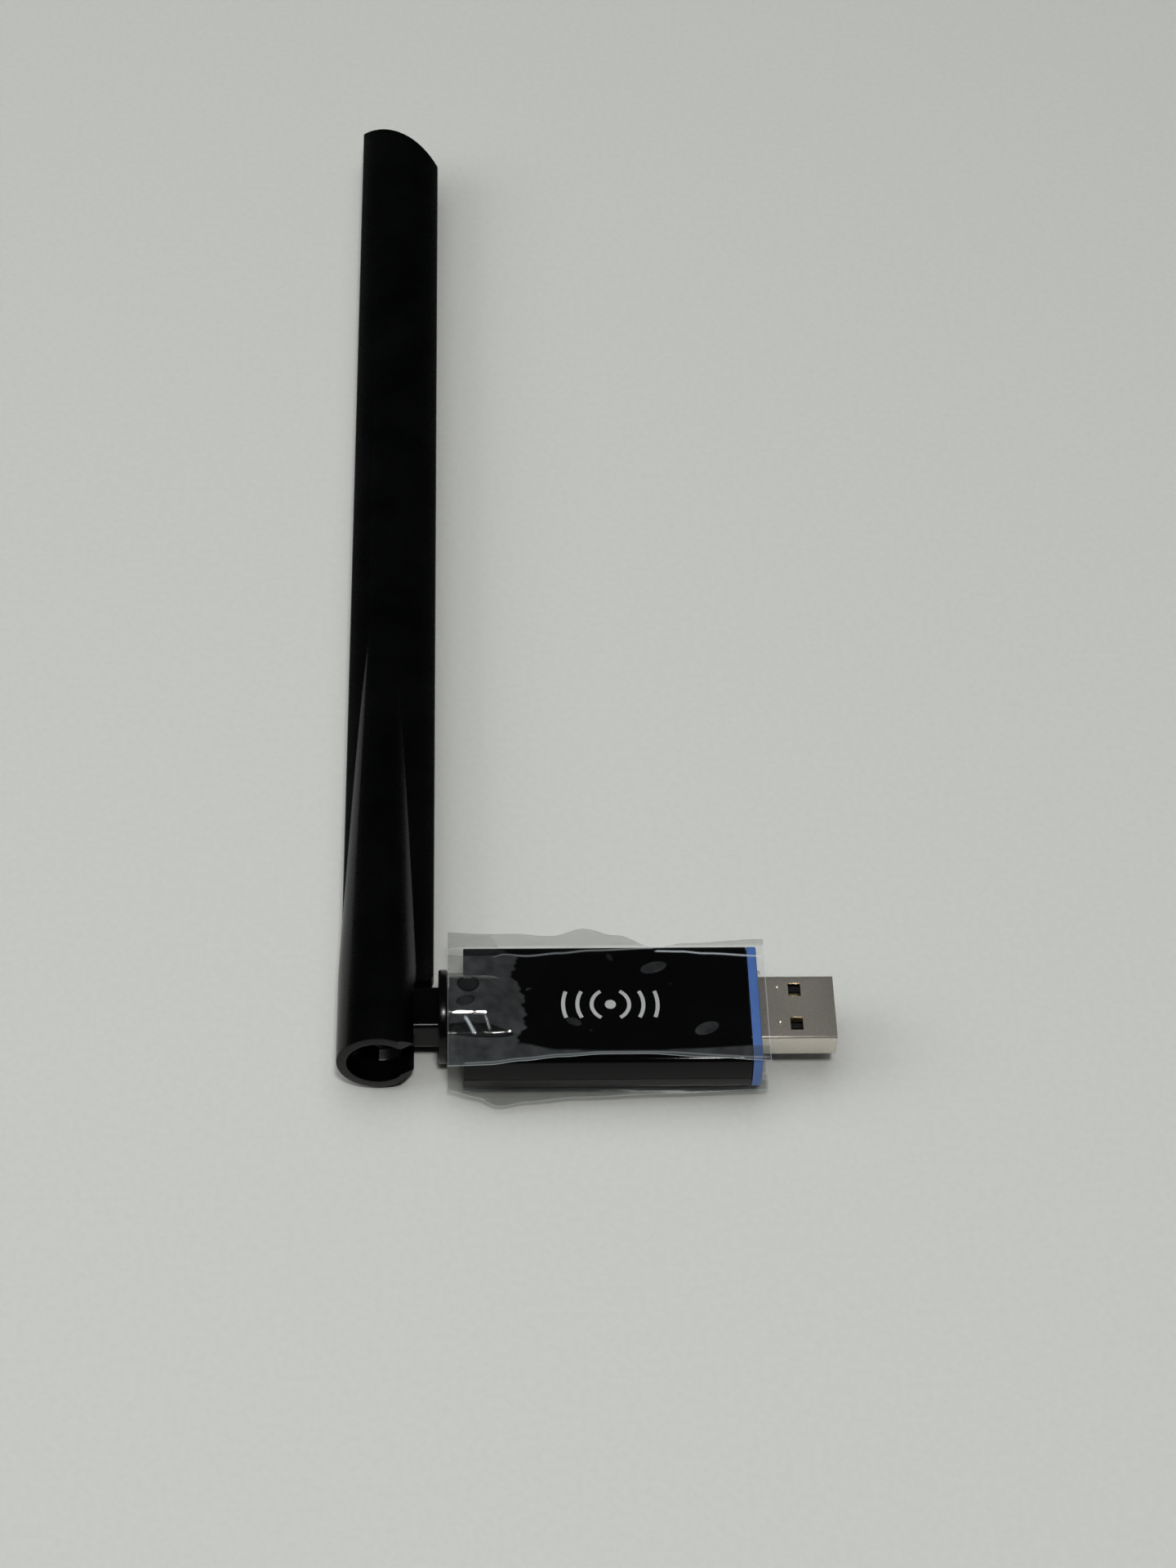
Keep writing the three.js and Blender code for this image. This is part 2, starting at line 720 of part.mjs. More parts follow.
function antennaBoard() {
  const outline = rectangle(antennaBoardWidth, antennaBoardLength, 1.0, bladeOffset, feedY);
  return prism("z", outline, boardUnderside, antennaBoardHeight);
}

// A copper arm of the dipole: a stem from the feed that widens into a plate.
function copperArm(direction) {
  const low = antennaBoardHeight + gap;
  const start = feedY + (direction * copperArmGap) / 2;
  const stemEnd = start + direction * 8;
  const end = start + direction * copperArmLength;
  const place = (y0, y1, half) =>
    block(
      bladeOffset - half,
      bladeOffset + half,
      Math.min(y0, y1),
      Math.max(y0, y1),
      low,
      low + copperThickness,
    );
  return place(start, stemEnd, 1.0).add(place(stemEnd - direction * 0.5, end, antennaBoardWidth / 2 - 1.0));
}

piece("antenna_board", antennaBoard(), boardGreen);
piece("copper_arm_upper", copperArm(1), copper);
piece("copper_arm_lower", copperArm(-1), copper);

// ---- Coaxial lead, in a stretch for each body that it runs through ----

const leadRadius = leadDiameter / 2;
const leadOverCopper = antennaBoardHeight + gap + copperThickness + gap + leadRadius;
const leadOverParts = componentFloor + 0.4 + leadRadius;
const leadAtConnector = connectorY - 1.3 - gap;

piece("coax_lead_body", lead([
  [connectorX, leadAtConnector, leadOverParts],
  [connectorX - 0.5, leadAtConnector - 1.4, leadOverParts],
  [connectorX - 2.0, 0.7, 0.6],
  [connectorX - 3.8, 0.1, 0.15],
  [pocketEnd + 1.0, 0, 0],
  [pocketEnd - 1.5, 0, 0],
  [leadSplit + gap, 0, 0],
]), leadGrey);

piece("coax_lead_swivel", bar("x", leadRadius, leadFromPivot, leadSplit, 0, 0, 12), leadGrey);

piece("coax_lead_antenna", lead([
  [0, leadFromPivot, 0],
  [0, 6, 0],
  [0, shellPocketStart - 2, 0],
  [0.4, antennaBoardStart - 2, leadOverCopper * 0.9],
  [bladeOffset, antennaBoardStart + 10, leadOverCopper],
  [bladeOffset, antennaBoardStart + 40, leadOverCopper],
  [bladeOffset, feedY - 2, leadOverCopper],
]), leadGrey);

// ---- Protective films ----

// A film in section (x, z): flat over the body's face and lifted over the barrel's fairing.
function film(side) {
  const face = (side > 0 ? bodyAbove : bodyBelow) + gap;
  const crest = barrelRadius + gap;
  const start = barrelStart;
  const fade = bodyStart + fairingFull + fairingFade;
  const heights = [
    [start, crest],
    [bodyStart + fairingFull, crest],
    [fade, face],
    [start + filmLength, face],
  ];
  const under = heights.map(([x, z]) => [side * z, x]);
  const over = heights.map(([x, z]) => [side * (z + filmThickness), x]).reverse();
  const outline = new THREE.Shape([...under, ...over].map(([z, x]) => new THREE.Vector2(z, x)));
  return prism("y", outline, -filmWidth / 2, filmWidth / 2);
}

piece("protective_film_top", film(1), clearFilm);
piece("protective_film_bottom", film(-1), clearFilm);

// The part's own frame: the origin is under the middle of the whole adapter, on the surface that it lies on.
const box = new THREE.Box3().setFromObject(group, true);
const centre = box.getCenter(new THREE.Vector3());
group.position.set(-centre.x, -centre.y, -box.min.z);

export default group;
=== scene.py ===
"""The looks of a USB wifi adapter with a folding blade antenna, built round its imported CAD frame."""

import json
import logging
import math
from contextlib import contextmanager
from dataclasses import dataclass, field
from enum import Enum
from typing import Callable, Iterator

import bmesh
import bpy
import numpy as np
from mathutils import Matrix, Quaternion, Vector


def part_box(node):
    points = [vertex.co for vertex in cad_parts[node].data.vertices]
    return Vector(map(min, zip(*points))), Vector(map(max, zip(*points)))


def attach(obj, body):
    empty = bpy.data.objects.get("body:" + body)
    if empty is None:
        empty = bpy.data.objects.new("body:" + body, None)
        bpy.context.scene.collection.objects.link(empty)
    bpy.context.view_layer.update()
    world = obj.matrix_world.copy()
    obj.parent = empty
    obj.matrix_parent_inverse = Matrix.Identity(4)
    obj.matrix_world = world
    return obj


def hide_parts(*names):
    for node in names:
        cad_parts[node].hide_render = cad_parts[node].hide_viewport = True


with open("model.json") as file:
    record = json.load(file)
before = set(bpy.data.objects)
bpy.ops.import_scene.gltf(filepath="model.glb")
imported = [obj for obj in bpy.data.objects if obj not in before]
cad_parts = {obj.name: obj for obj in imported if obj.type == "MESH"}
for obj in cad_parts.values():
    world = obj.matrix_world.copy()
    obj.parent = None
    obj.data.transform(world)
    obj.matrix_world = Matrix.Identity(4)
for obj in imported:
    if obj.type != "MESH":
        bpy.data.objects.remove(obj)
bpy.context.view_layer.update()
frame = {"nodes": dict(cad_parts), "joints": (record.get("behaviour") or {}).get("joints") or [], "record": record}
log = logging.getLogger("adapter")

MM = 0.001
HINGE = Vector(frame["joints"][0]["pos_m"])  # the swivel and tilt axes meet here

Test = Callable[[object], bool]


class Axis(Enum):
    """An axis of the shared frame, with the turn that lays a Z-long primitive along it."""

    X = (0.0, math.pi / 2, 0.0)
    Y = (math.pi / 2, 0.0, 0.0)
    Z = (0.0, 0.0, 0.0)


class Select(Enum):
    """What an edit-mode step works on."""

    VERTS = "VERT"
    EDGES = "EDGE"
    FACES = "FACE"


# ---- Places ----


def at(x: float, y: float, z: float) -> Vector:
    """Returns the place in the frame of a point given in millimetres from the hinge centre."""
    return HINGE + Vector((x, y, z)) * MM


def local(point: Vector) -> Vector:
    """Returns a frame place as millimetres from the hinge centre."""
    return (Vector(point) - HINGE) / MM


def node_box(name: str) -> tuple[Vector, Vector]:
    """Returns a CAD node's lowest and highest corners in millimetres from the hinge centre."""
    low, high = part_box(name)
    return local(low), local(high)


# ---- Modelling by operator ----


def deselect_all() -> None:
    """Leaves object mode with nothing selected."""
    if bpy.context.object is not None and bpy.context.object.mode != "OBJECT":
        bpy.ops.object.mode_set(mode="OBJECT")
    bpy.ops.object.select_all(action="DESELECT")


def activate(piece: bpy.types.Object) -> None:
    """Makes a piece the only selected object and the active one."""
    deselect_all()
    piece.select_set(True)
    bpy.context.view_layer.objects.active = piece


@contextmanager
def editing(piece: bpy.types.Object, select: Select = Select.FACES) -> Iterator[None]:
    """Opens a piece in edit mode with nothing selected, and closes it again.

    Args:
        piece: The object to edit.
        select: The kind of element that the steps inside choose.
    """
    activate(piece)
    bpy.ops.object.mode_set(mode="EDIT")
    bpy.ops.mesh.select_mode(type=select.value)
    bpy.ops.mesh.select_all(action="DESELECT")
    try:
        yield
    finally:
        bpy.ops.object.mode_set(mode="OBJECT")


def choose(piece: bpy.types.Object, select: Select, test: Test) -> int:
    """Selects the elements of a piece in edit mode that pass a test.

    Args:
        piece: The object in edit mode.
        select: The kind of element to test.
        test: Given a bmesh vertex, edge or face, says whether it is chosen.

    Returns:
        How many elements were chosen.
    """
    bpy.ops.mesh.select_mode(type=select.value)
    bpy.ops.mesh.select_all(action="DESELECT")
    mesh = bmesh.from_edit_mesh(piece.data)
    elements = {Select.VERTS: mesh.verts, Select.EDGES: mesh.edges, Select.FACES: mesh.faces}[select]
    chosen = [element for element in elements if test(element)]
    for element in chosen:
        element.select_set(True)
    mesh.select_flush_mode()
    bmesh.update_edit_mesh(piece.data)
    return len(chosen)


def place_of(vertex: object) -> Vector:
    """Returns a vertex's place in millimetres from the hinge centre."""
    return local(vertex.co)


def edge_test(test: Callable[[Vector], bool]) -> Test:
    """Returns a test that passes an edge when both its ends pass."""
    return lambda edge: all(test(place_of(vertex)) for vertex in edge.verts)


def facing(axis: int, sign: int, least: float = 0.99) -> Test:
    """Returns a test for faces whose normal points along an axis, 0 to 2, with a sign."""
    return lambda face: face.normal[axis] * sign > least


def apply_place(piece: bpy.types.Object) -> None:
    """Puts a piece's place, turn and size into its mesh."""
    activate(piece)
    bpy.ops.object.transform_apply(location=True, rotation=True, scale=True)


def block(name: str, low: tuple[float, float, float], high: tuple[float, float, float]) -> bpy.types.Object:
    """Adds a block between two corners, to be shaped further.

    Args:
        name: The object's name.
        low: The lowest corner in millimetres from the hinge centre.
        high: The highest corner in millimetres from the hinge centre.

    Returns:
        The new object.
    """
    deselect_all()
    middle = (Vector(low) + Vector(high)) / 2
    bpy.ops.mesh.primitive_cube_add(size=MM, location=at(*middle))
    piece = bpy.context.object
    piece.name = name
    piece.scale = Vector(high) - Vector(low)
    apply_place(piece)
    return piece


def bar(
    name: str, axis: Axis, radius: float, start: float, end: float, centre: tuple[float, float, float] = (0, 0, 0),
    sides: int = 96,
) -> bpy.types.Object:
    """Adds a round bar along an axis, to be shaped further.

    Args:
        name: The object's name.
        axis: The axis that the bar runs along.
        radius: Its radius in millimetres.
        start: Where it begins along the axis, in millimetres from the hinge centre.
        end: Where it ends along the axis.
        centre: A point on its centre line; the coordinate along the axis isn't used.
        sides: How many sides the bar has.

    Returns:
        The new object.
    """
    deselect_all()
    index = list(Axis).index(axis)
    middle = list(centre)
    middle[index] = (start + end) / 2
    bpy.ops.mesh.primitive_cylinder_add(
        vertices=sides, radius=radius * MM, depth=(end - start) * MM, location=at(*middle), rotation=axis.value
    )
    piece = bpy.context.object
    piece.name = name
    apply_place(piece)
    return piece


def bevel_edges(piece: bpy.types.Object, test: Test, width: float, segments: int = 3, clamp: bool = True) -> None:
    """Rounds the edges that pass a test.

    Args:
        piece: The object to round.
        test: Says whether a bmesh edge is rounded.
        width: The rounding's width in millimetres.
        segments: How many faces the rounding has across it.
        clamp: Narrows the rounding everywhere where it would overlap somewhere.
    """
    with editing(piece, Select.EDGES):
        if choose(piece, Select.EDGES, test):
            bpy.ops.mesh.bevel(offset=width * MM, segments=segments, affect="EDGES", clamp_overlap=clamp)


def apply_modifier(piece: bpy.types.Object, kind: str, **settings: object) -> None:
    """Adds a modifier with the given settings and applies it."""
    activate(piece)
    modifier = piece.modifiers.new(kind.lower(), kind)
    for key, value in settings.items():
        setattr(modifier, key, value)
    bpy.ops.object.modifier_apply(modifier=modifier.name)


def combine(piece: bpy.types.Object, *others: bpy.types.Object, how: str = "DIFFERENCE") -> bpy.types.Object:
    """Cuts, joins or meets a piece with other solids, which are used up.

    Args:
        piece: The solid that is changed.
        others: The solids that change it.
        how: DIFFERENCE, UNION or INTERSECT.

    Returns:
        The changed piece.
    """
    for other in others:
        apply_modifier(piece, "BOOLEAN", operation=how, object=other, solver="EXACT")
        bpy.data.objects.remove(other, do_unlink=True)
    return piece


def bisect(piece: bpy.types.Object, point: Vector, normal: tuple[float, float, float], keep_above: bool) -> None:
    """Cuts a closed piece by a plane, keeps one side and closes it.

    Args:
        piece: The object to cut.
        point: A point on the plane, in the frame.
        normal: The plane's normal.
        keep_above: Keeps the side that the normal points to, or else the other.
    """
    with editing(piece):
        bpy.ops.mesh.select_all(action="SELECT")
        bpy.ops.mesh.bisect(
            plane_co=point, plane_no=normal, use_fill=True, clear_inner=keep_above, clear_outer=not keep_above
        )


def copy_of(piece: bpy.types.Object, name: str) -> bpy.types.Object:
    """Returns a copy of a piece with a mesh of its own."""
    twin = piece.copy()
    twin.data = piece.data.copy()
    twin.name = name
    bpy.context.scene.collection.objects.link(twin)
    return twin


def tidy_mesh(piece: bpy.types.Object) -> None:
    """Merges doubled vertices and removes stray bits of no size."""
    with editing(piece, Select.VERTS):
        bpy.ops.mesh.select_all(action="SELECT")
        bpy.ops.mesh.remove_doubles(threshold=0.002 * MM)
        bpy.ops.mesh.dissolve_degenerate(threshold=0.001 * MM)


def smooth(piece: bpy.types.Object, angle: float = 30.0) -> None:
    """Shades a piece smooth except across edges sharper than an angle in degrees."""
    activate(piece)
    bpy.ops.object.shade_smooth_by_angle(angle=math.radians(angle))


def hand_over(
    piece: bpy.types.Object, body: str, material: bpy.types.Material, replaced: tuple[str, ...] = ()
) -> bpy.types.Object:
    """Dresses a finished piece and puts it on its body.

    Args:
        piece: The finished object.
        body: The CAD body that it moves with.
        material: Its material.
        replaced: The CAD nodes that it stands for.

    Returns:
        The piece.
    """
    piece.data.materials.clear()
    piece.data.materials.append(material)
    if replaced:
        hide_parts(*replaced)
    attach(piece, body)
    log.info("%s rides on %s", piece.name, body)
    return piece


# ---- Finishes ----


class NodeBoard:
    """A material's node tree, with short calls to add and join nodes."""

    def __init__(self, name: str) -> None:
        """Starts an empty tree with only its output node."""
        self.material = bpy.data.materials.new(name)
        self.material.use_nodes = True
        self.tree = self.material.node_tree
        self.tree.nodes.clear()
        self.output = self.tree.nodes.new("ShaderNodeOutputMaterial")

    def add(self, kind: str, inputs: dict[str, object] | None = None, **settings: object) -> bpy.types.Node:
        """Adds a node.

        Args:
            kind: The node's type, without the ShaderNode in front.
            inputs: Values for its sockets, or other nodes' sockets to join to them.
            settings: Values for its properties.

        Returns:
            The new node.
        """
        node = self.tree.nodes.new("ShaderNode" + kind)
        for key, value in settings.items():
            setattr(node, key, value)
        for key, value in (inputs or {}).items():
            if isinstance(value, bpy.types.NodeSocket):
                self.tree.links.new(value, node.inputs[key])
            else:
                node.inputs[key].default_value = value
        return node

    def grain(self, scale: float, stretch: tuple[float, float, float] = (1, 1, 1), detail: float = 3) -> bpy.types.NodeSocket:
        """Returns the value of a noise on object coordinates.

        Args:
            scale: How many grains there are to a metre.
            stretch: How much finer the grain is along each axis.
            detail: How many finer layers the noise has.
        """
        place = self.add("TexCoord").outputs["Object"]
        turned = self.add("Mapping", {"Vector": place, "Scale": stretch}).outputs["Vector"]
        return self.add("TexNoise", {"Vector": turned, "Scale": scale, "Detail": detail}).outputs["Fac"]

    def spread(self, value: bpy.types.NodeSocket, low: float, high: float) -> bpy.types.NodeSocket:
        """Returns a noise value spread between two numbers."""
        limits = {"Value": value, "From Min": 0.3, "From Max": 0.7, "To Min": low, "To Max": high}
        return self.add("MapRange", limits).outputs["Result"]

    def ramp(self, value: bpy.types.NodeSocket, stops: list[tuple[float, tuple[float, ...]]]) -> bpy.types.NodeSocket:
        """Returns a colour that follows a value through the given stops."""
        node = self.add("ValToRGB", {"Fac": value})
        elements = node.color_ramp.elements
        while len(elements) < len(stops):
            elements.new(0.5)
        for element, (place, colour) in zip(elements, stops):
            element.position = place
            element.color = (*colour[:3], 1.0)
        return node.outputs["Color"]

    def finish(self, surface: bpy.types.NodeSocket) -> bpy.types.Material:
        """Joins a surface to the output and returns the material."""
        self.tree.links.new(surface, self.output.inputs["Surface"])
        return self.material


Colour = tuple[float, float, float]


@dataclass(frozen=True)
class Moulding:
    """A moulded, stamped or drawn surface: two near colours, an uneven gloss and a fine relief."""

    name: str
    colour: Colour
    patch_colour: Colour
    roughness: tuple[float, float]
    metallic: float = 0.0
    patch_scale: float = 90.0
    grain_scale: float = 2500.0
    grain_stretch: tuple[float, float, float] = (1, 1, 1)
    relief: float = 0.02
    relief_depth: float = 0.00002
    specular: float = 0.5
    coat: float = 0.0

    def material(self) -> bpy.types.Material:
        """Returns the finished material."""
        board = NodeBoard(self.name)
        patches = board.grain(self.patch_scale)
        fine = board.grain(self.grain_scale, self.grain_stretch, 2)
        colour = board.ramp(patches, [(0.35, self.colour), (0.65, self.patch_colour)])
        gloss = board.spread(fine, *self.roughness)
        bump = board.add("Bump", {"Height": fine, "Strength": self.relief, "Distance": self.relief_depth})
        shader = board.add("BsdfPrincipled", {
            "Base Color": colour,
            "Roughness": gloss,
            "Metallic": self.metallic,
            "Normal": bump.outputs["Normal"],
            "Specular IOR Level": self.specular,
            "Coat Weight": self.coat,
            "Coat Roughness": 0.06,
        })
        return board.finish(shader.outputs["BSDF"])


@dataclass(frozen=True)
class FilmFinish:
    """Clear protective film: see-through where it clings, with a painted grey reflection veil where air is under it
    and painted white highlights along its folds and cut edges.
    """

    name: str = "clear_film"
    # The colour of the painted reflection veil, which stands for the air gap's reflections under lifted film.
    painted_air_gap_veil: Colour = (0.58, 0.63, 0.66)
    gloss_roughness: float = 0.05
    # How strongly the painted reflection veil shows.
    painted_air_gap_veil_strength: float = 0.036
    reflection: float = 0.035

    def material(self) -> bpy.types.Material:
        """Returns the finished material, which reads the film's painted reflection veil and painted edge and fold
        highlight attributes.
        """
        board = NodeBoard(self.name)
        painted_air_gap_veil = board.add("Attribute", attribute_name="painted_air_gap_veil").outputs["Fac"]
        painted_edge_and_fold_highlight = board.add("Attribute", attribute_name="painted_edge_and_fold_highlight").outputs["Fac"]
        cloud = board.grain(420.0, detail=4)
        ripple = board.grain(180.0, (1, 2.2, 1), 2)
        bump = board.add("Bump", {"Height": ripple, "Strength": 0.35, "Distance": 0.0004}).outputs["Normal"]
        uneven = board.spread(cloud, 0.55, 1.15)
        # Painted reflection: a lit grey veil where the film stands free, for the air gap's reflections, made uneven
        # by a noise.
        painted_veil_amount = board.add("Math", {0: painted_air_gap_veil, 1: uneven}, operation="MULTIPLY").outputs[0]
        painted_veil_amount = board.add("Math", {0: painted_veil_amount, 1: self.painted_air_gap_veil_strength}, operation="MULTIPLY").outputs[0]
        # Painted light: the painted fold and edge highlights or the painted reflection veil, whichever is stronger.
        painted_light = board.add("Math", {0: painted_edge_and_fold_highlight, 1: painted_veil_amount}, operation="MAXIMUM").outputs[0]
        facing = board.add("LayerWeight", {"Blend": 0.5, "Normal": bump}).outputs["Facing"]
        grazing = board.add("Math", {0: facing, 1: 5.0}, operation="POWER").outputs[0]
        mirror = board.add("Math", {0: grazing, 1: 0.95, 2: self.reflection}, operation="MULTIPLY_ADD").outputs[0]
        # The see-through part dims under the painted reflection veil.
        tint = board.ramp(painted_air_gap_veil, [(0.0, (0.985, 0.985, 0.985)), (1.0, (0.80, 0.80, 0.79))])
        clear = board.add("BsdfTransparent", {"Color": tint}).outputs["BSDF"]
        sheen = board.add("BsdfGlossy", {"Roughness": self.gloss_roughness, "Normal": bump}).outputs["BSDF"]
        # A lit grey diffuse surface stands for the painted highlights and the painted reflection veil.
        painted_light_diffuse = board.add("BsdfDiffuse", {"Color": (*self.painted_air_gap_veil, 1)}).outputs["BSDF"]
        glazed = board.add("MixShader", {"Fac": mirror, 1: clear, 2: sheen}).outputs["Shader"]
        surface = board.add("MixShader", {"Fac": painted_light, 1: glazed, 2: painted_light_diffuse}).outputs["Shader"]
        return board.finish(surface)


@dataclass(frozen=True)
class TableFinish:
    """A plain pale matt table top."""

    name: str = "pale_table"
    colour: Colour = (0.50, 0.515, 0.495)
    patch_colour: Colour = (0.53, 0.54, 0.525)

    def material(self) -> bpy.types.Material:
        """Returns the finished material."""
        board = NodeBoard(self.name)
        colour = board.ramp(board.grain(900.0), [(0.3, self.colour), (0.7, self.patch_colour)])
        shader = board.add("BsdfPrincipled", {"Base Color": colour, "Roughness": 0.75})
        return board.finish(shader.outputs["BSDF"])


@dataclass(frozen=True)
class Palette:
    """Every finish of the adapter, each made once."""

    gloss_black: bpy.types.Material = field(default_factory=Moulding(
        "gloss_black_shell", (0.0006, 0.0006, 0.0007), (0.0014, 0.0014, 0.0016), (0.06, 0.12),
        relief=0.03, specular=0.15).material)
    fine_black: bpy.types.Material = field(default_factory=Moulding(
        "fine_textured_black", (0.003, 0.003, 0.0028), (0.005, 0.005, 0.0045), (0.28, 0.40),
        grain_scale=8000.0, relief=0.15, specular=0.22).material)
    satin_black: bpy.types.Material = field(default_factory=Moulding(
        "satin_black_shell", (0.0004, 0.0005, 0.0005), (0.0013, 0.0015, 0.0014), (0.22, 0.34),
        grain_scale=7000.0, relief=0.12, specular=0.24).material)
    knuckle_black: bpy.types.Material = field(default_factory=Moulding(
        "swivel_black", (0.0006, 0.0006, 0.0008), (0.0016, 0.0016, 0.0018), (0.16, 0.26),
        relief=0.05, specular=0.18).material)
    blue: bpy.types.Material = field(default_factory=Moulding(
        "blue_trim", (0.055, 0.128, 0.36), (0.065, 0.145, 0.40), (0.32, 0.45), grain_scale=5000.0, relief=0.06).material)
    nickel: bpy.types.Material = field(default_factory=Moulding(
        "nickel_plate", (0.62, 0.58, 0.51), (0.70, 0.655, 0.585), (0.26, 0.36), metallic=0.84,
        grain_scale=1400.0, grain_stretch=(1, 9, 9), relief=0.03).material)
    print_silver: bpy.types.Material = field(default_factory=Moulding(
        "printed_silver", (0.34, 0.35, 0.345), (0.42, 0.43, 0.42), (0.45, 0.6), grain_scale=9000.0, relief=0.1).material)
    film: bpy.types.Material = field(default_factory=FilmFinish().material)


CAD_FINISHES: dict[str, Moulding] = {
    "plug_insulator": Moulding("plug_insulator", (0.008, 0.008, 0.009), (0.014, 0.014, 0.015), (0.4, 0.55)),
    "gold_plate": Moulding("gold_plate", (0.74, 0.60, 0.38), (0.82, 0.68, 0.45), (0.18, 0.3), 1.0,
                           grain_scale=3000.0, grain_stretch=(1, 6, 6), relief=0.08),
    "board_laminate": Moulding("board_laminate", (0.008, 0.085, 0.035), (0.012, 0.12, 0.05), (0.3, 0.45),
                               patch_scale=1600.0, grain_scale=2600.0, relief=0.15),
    "tinned_steel": Moulding("tinned_steel", (0.52, 0.52, 0.50), (0.62, 0.62, 0.60), (0.28, 0.42), 1.0,
                             grain_scale=1800.0, grain_stretch=(8, 1, 8), relief=0.08),
    "chip_moulding": Moulding("chip_moulding", (0.012, 0.012, 0.013), (0.02, 0.02, 0.021), (0.5, 0.65),
                              grain_scale=6000.0, relief=0.2),
    "ceramic_part": Moulding("ceramic_part", (0.50, 0.42, 0.30), (0.58, 0.50, 0.38), (0.45, 0.6)),
    "lead_jacket": Moulding("lead_jacket", (0.02, 0.02, 0.022), (0.03, 0.03, 0.033), (0.35, 0.5), grain_scale=4000.0),
    "friction_rubber": Moulding("friction_rubber", (0.012, 0.012, 0.012), (0.02, 0.02, 0.02), (0.7, 0.85),
                                grain_scale=5000.0, relief=0.2),
    "spring_steel": Moulding("spring_steel", (0.50, 0.50, 0.51), (0.60, 0.60, 0.61), (0.22, 0.35), 1.0,
                             grain_scale=2000.0, grain_stretch=(6, 6, 1), relief=0.08),
    "copper_foil": Moulding("copper_foil", (0.72, 0.33, 0.18), (0.80, 0.40, 0.22), (0.28, 0.42), 1.0,
                            grain_scale=1500.0, grain_stretch=(6, 1, 6), relief=0.08),
}


# ---- The plug-in body ----


@dataclass
class PlugBody:
    """The slim body: its two covers, blue end trim, USB plug and printed mark."""

    palette: Palette
    body: str = "adapter_body"
    parting: float = -0.9  # height of the parting line above the swivel axis
    seam: float = 0.05  # half the seam that shows between the covers
    draft: float = 0.4  # the sides lean in by this much at the flat faces
    edge: float = 0.9  # rounding of the long edges
    wall: float = 1.2
    barrel_radius: float = 6.5
    barrel_bore: float = 4.9
    fairing_full: float = 3.4
    fairing_fade: float = 6.5
    plug_wall: float = 0.3
    plug_corner: float = 0.5

    def __post_init__(self) -> None:
        """Reads the driving places from the frame."""
        low, high = node_box("top_cover")
        self.barrel_start = low.x
        self.start = low.x + 2.1
        self.end = high.x
        self.half_width = high.y
        self.bezel_low, self.bezel_high = node_box("end_bezel")
        self.top = self.bezel_high.z
        self.bottom = self.bezel_low.z
        self.plug_low, self.plug_high = node_box("usb_shell")

    def drafted_block(self, name: str, start: float, end: float) -> bpy.types.Object:
        """Returns a block with the body's drafted, round-edged section.

        Args:
            name: The object's name.
            start: Where it begins along the body.
            end: Where it ends.
        """
        half = self.half_width - self.draft
        piece = block(name, (start, -half, self.bottom), (end, half, self.top))
        with editing(piece):
            bpy.ops.mesh.select_all(action="SELECT")
            bpy.ops.mesh.bisect(plane_co=at(0, 0, self.parting), plane_no=(0, 0, 1))
            choose(piece, Select.VERTS, lambda v: abs(place_of(v).z - self.parting) < 0.01)
            bpy.ops.transform.resize(
                value=(1, self.half_width / half, 1), center_override=at(0, 0, self.parting)
            )
        flat = edge_test(lambda p: abs(abs(p.y) - half) < 0.01 and not self.bottom + 0.01 < p.z < self.top - 0.01)
        bevel_edges(piece, lambda e: flat(e) and abs(e.verts[0].co.x - e.verts[1].co.x) > MM / 2, self.edge, 6)
        return piece

    def barrel(self) -> bpy.types.Object:
        """Returns the swivel barrel with the fairing that sinks into the body."""
        full = self.start + self.fairing_full
        piece = bar("barrel", Axis.X, self.barrel_radius, self.barrel_start, full, sides=128)
        steps = 12
        low = self.top - 0.2
        radius = self.barrel_radius
        with editing(piece):
            choose(piece, Select.FACES, facing(0, 1))
            for step in range(1, steps + 1):
                ease = step / steps
                target = self.barrel_radius + (low - self.barrel_radius) * ease * ease * (3 - 2 * ease)
                bpy.ops.mesh.extrude_region_move(
                    TRANSFORM_OT_translate={"value": (self.fairing_fade / steps * MM, 0, 0)}
                )
                ratio = target / radius
                place = at(full + self.fairing_fade * ease, 0, 0)
                bpy.ops.transform.resize(value=(1, ratio, ratio), center_override=place)
                radius = target
        rim = edge_test(lambda p: p.x < self.barrel_start + 0.01)
        bevel_edges(piece, rim, 0.3, 3)
        return piece

    def covers(self) -> None:
        """Models the two covers as one case and parts them."""
        case = self.drafted_block("case", self.start, self.end)
        ends = edge_test(lambda p: p.x < self.start + 0.01)
        bevel_edges(case, lambda e: ends(e), 0.18, 2)
        combine(case, self.barrel(), how="UNION")
        inner = self.wall
        half = self.half_width - self.draft - inner
        cavity = block(
            "cavity", (self.start + 1.5, -half, self.bottom + inner), (self.end + 1, half, self.top - inner)
        )
        bore = bar("bore", Axis.X, self.barrel_bore, self.barrel_start - 1, self.start, sides=96)
        pocket = bar("pocket", Axis.X, self.barrel_bore, self.start + 1.4, self.start + 5.6, sides=64)
        shaft_way = bar("shaft_way", Axis.X, 3.3, self.start - 0.5, self.start + 2.5, sides=64)
        combine(case, cavity, bore, pocket, shaft_way)
        tidy_mesh(case)
        lower = copy_of(case, "body_bottom_cover")
        case.name = "body_top_cover"
        bisect(case, at(0, 0, self.parting + self.seam), (0, 0, 1), True)
        bisect(lower, at(0, 0, self.parting - self.seam), (0, 0, 1), False)
        for piece, node, finish in (
            (case, "top_cover", self.palette.gloss_black),
            (lower, "bottom_cover", self.palette.fine_black),
        ):
            self.round_seam(piece)
            smooth(piece, 25)
            hand_over(piece, self.body, finish, (node,))

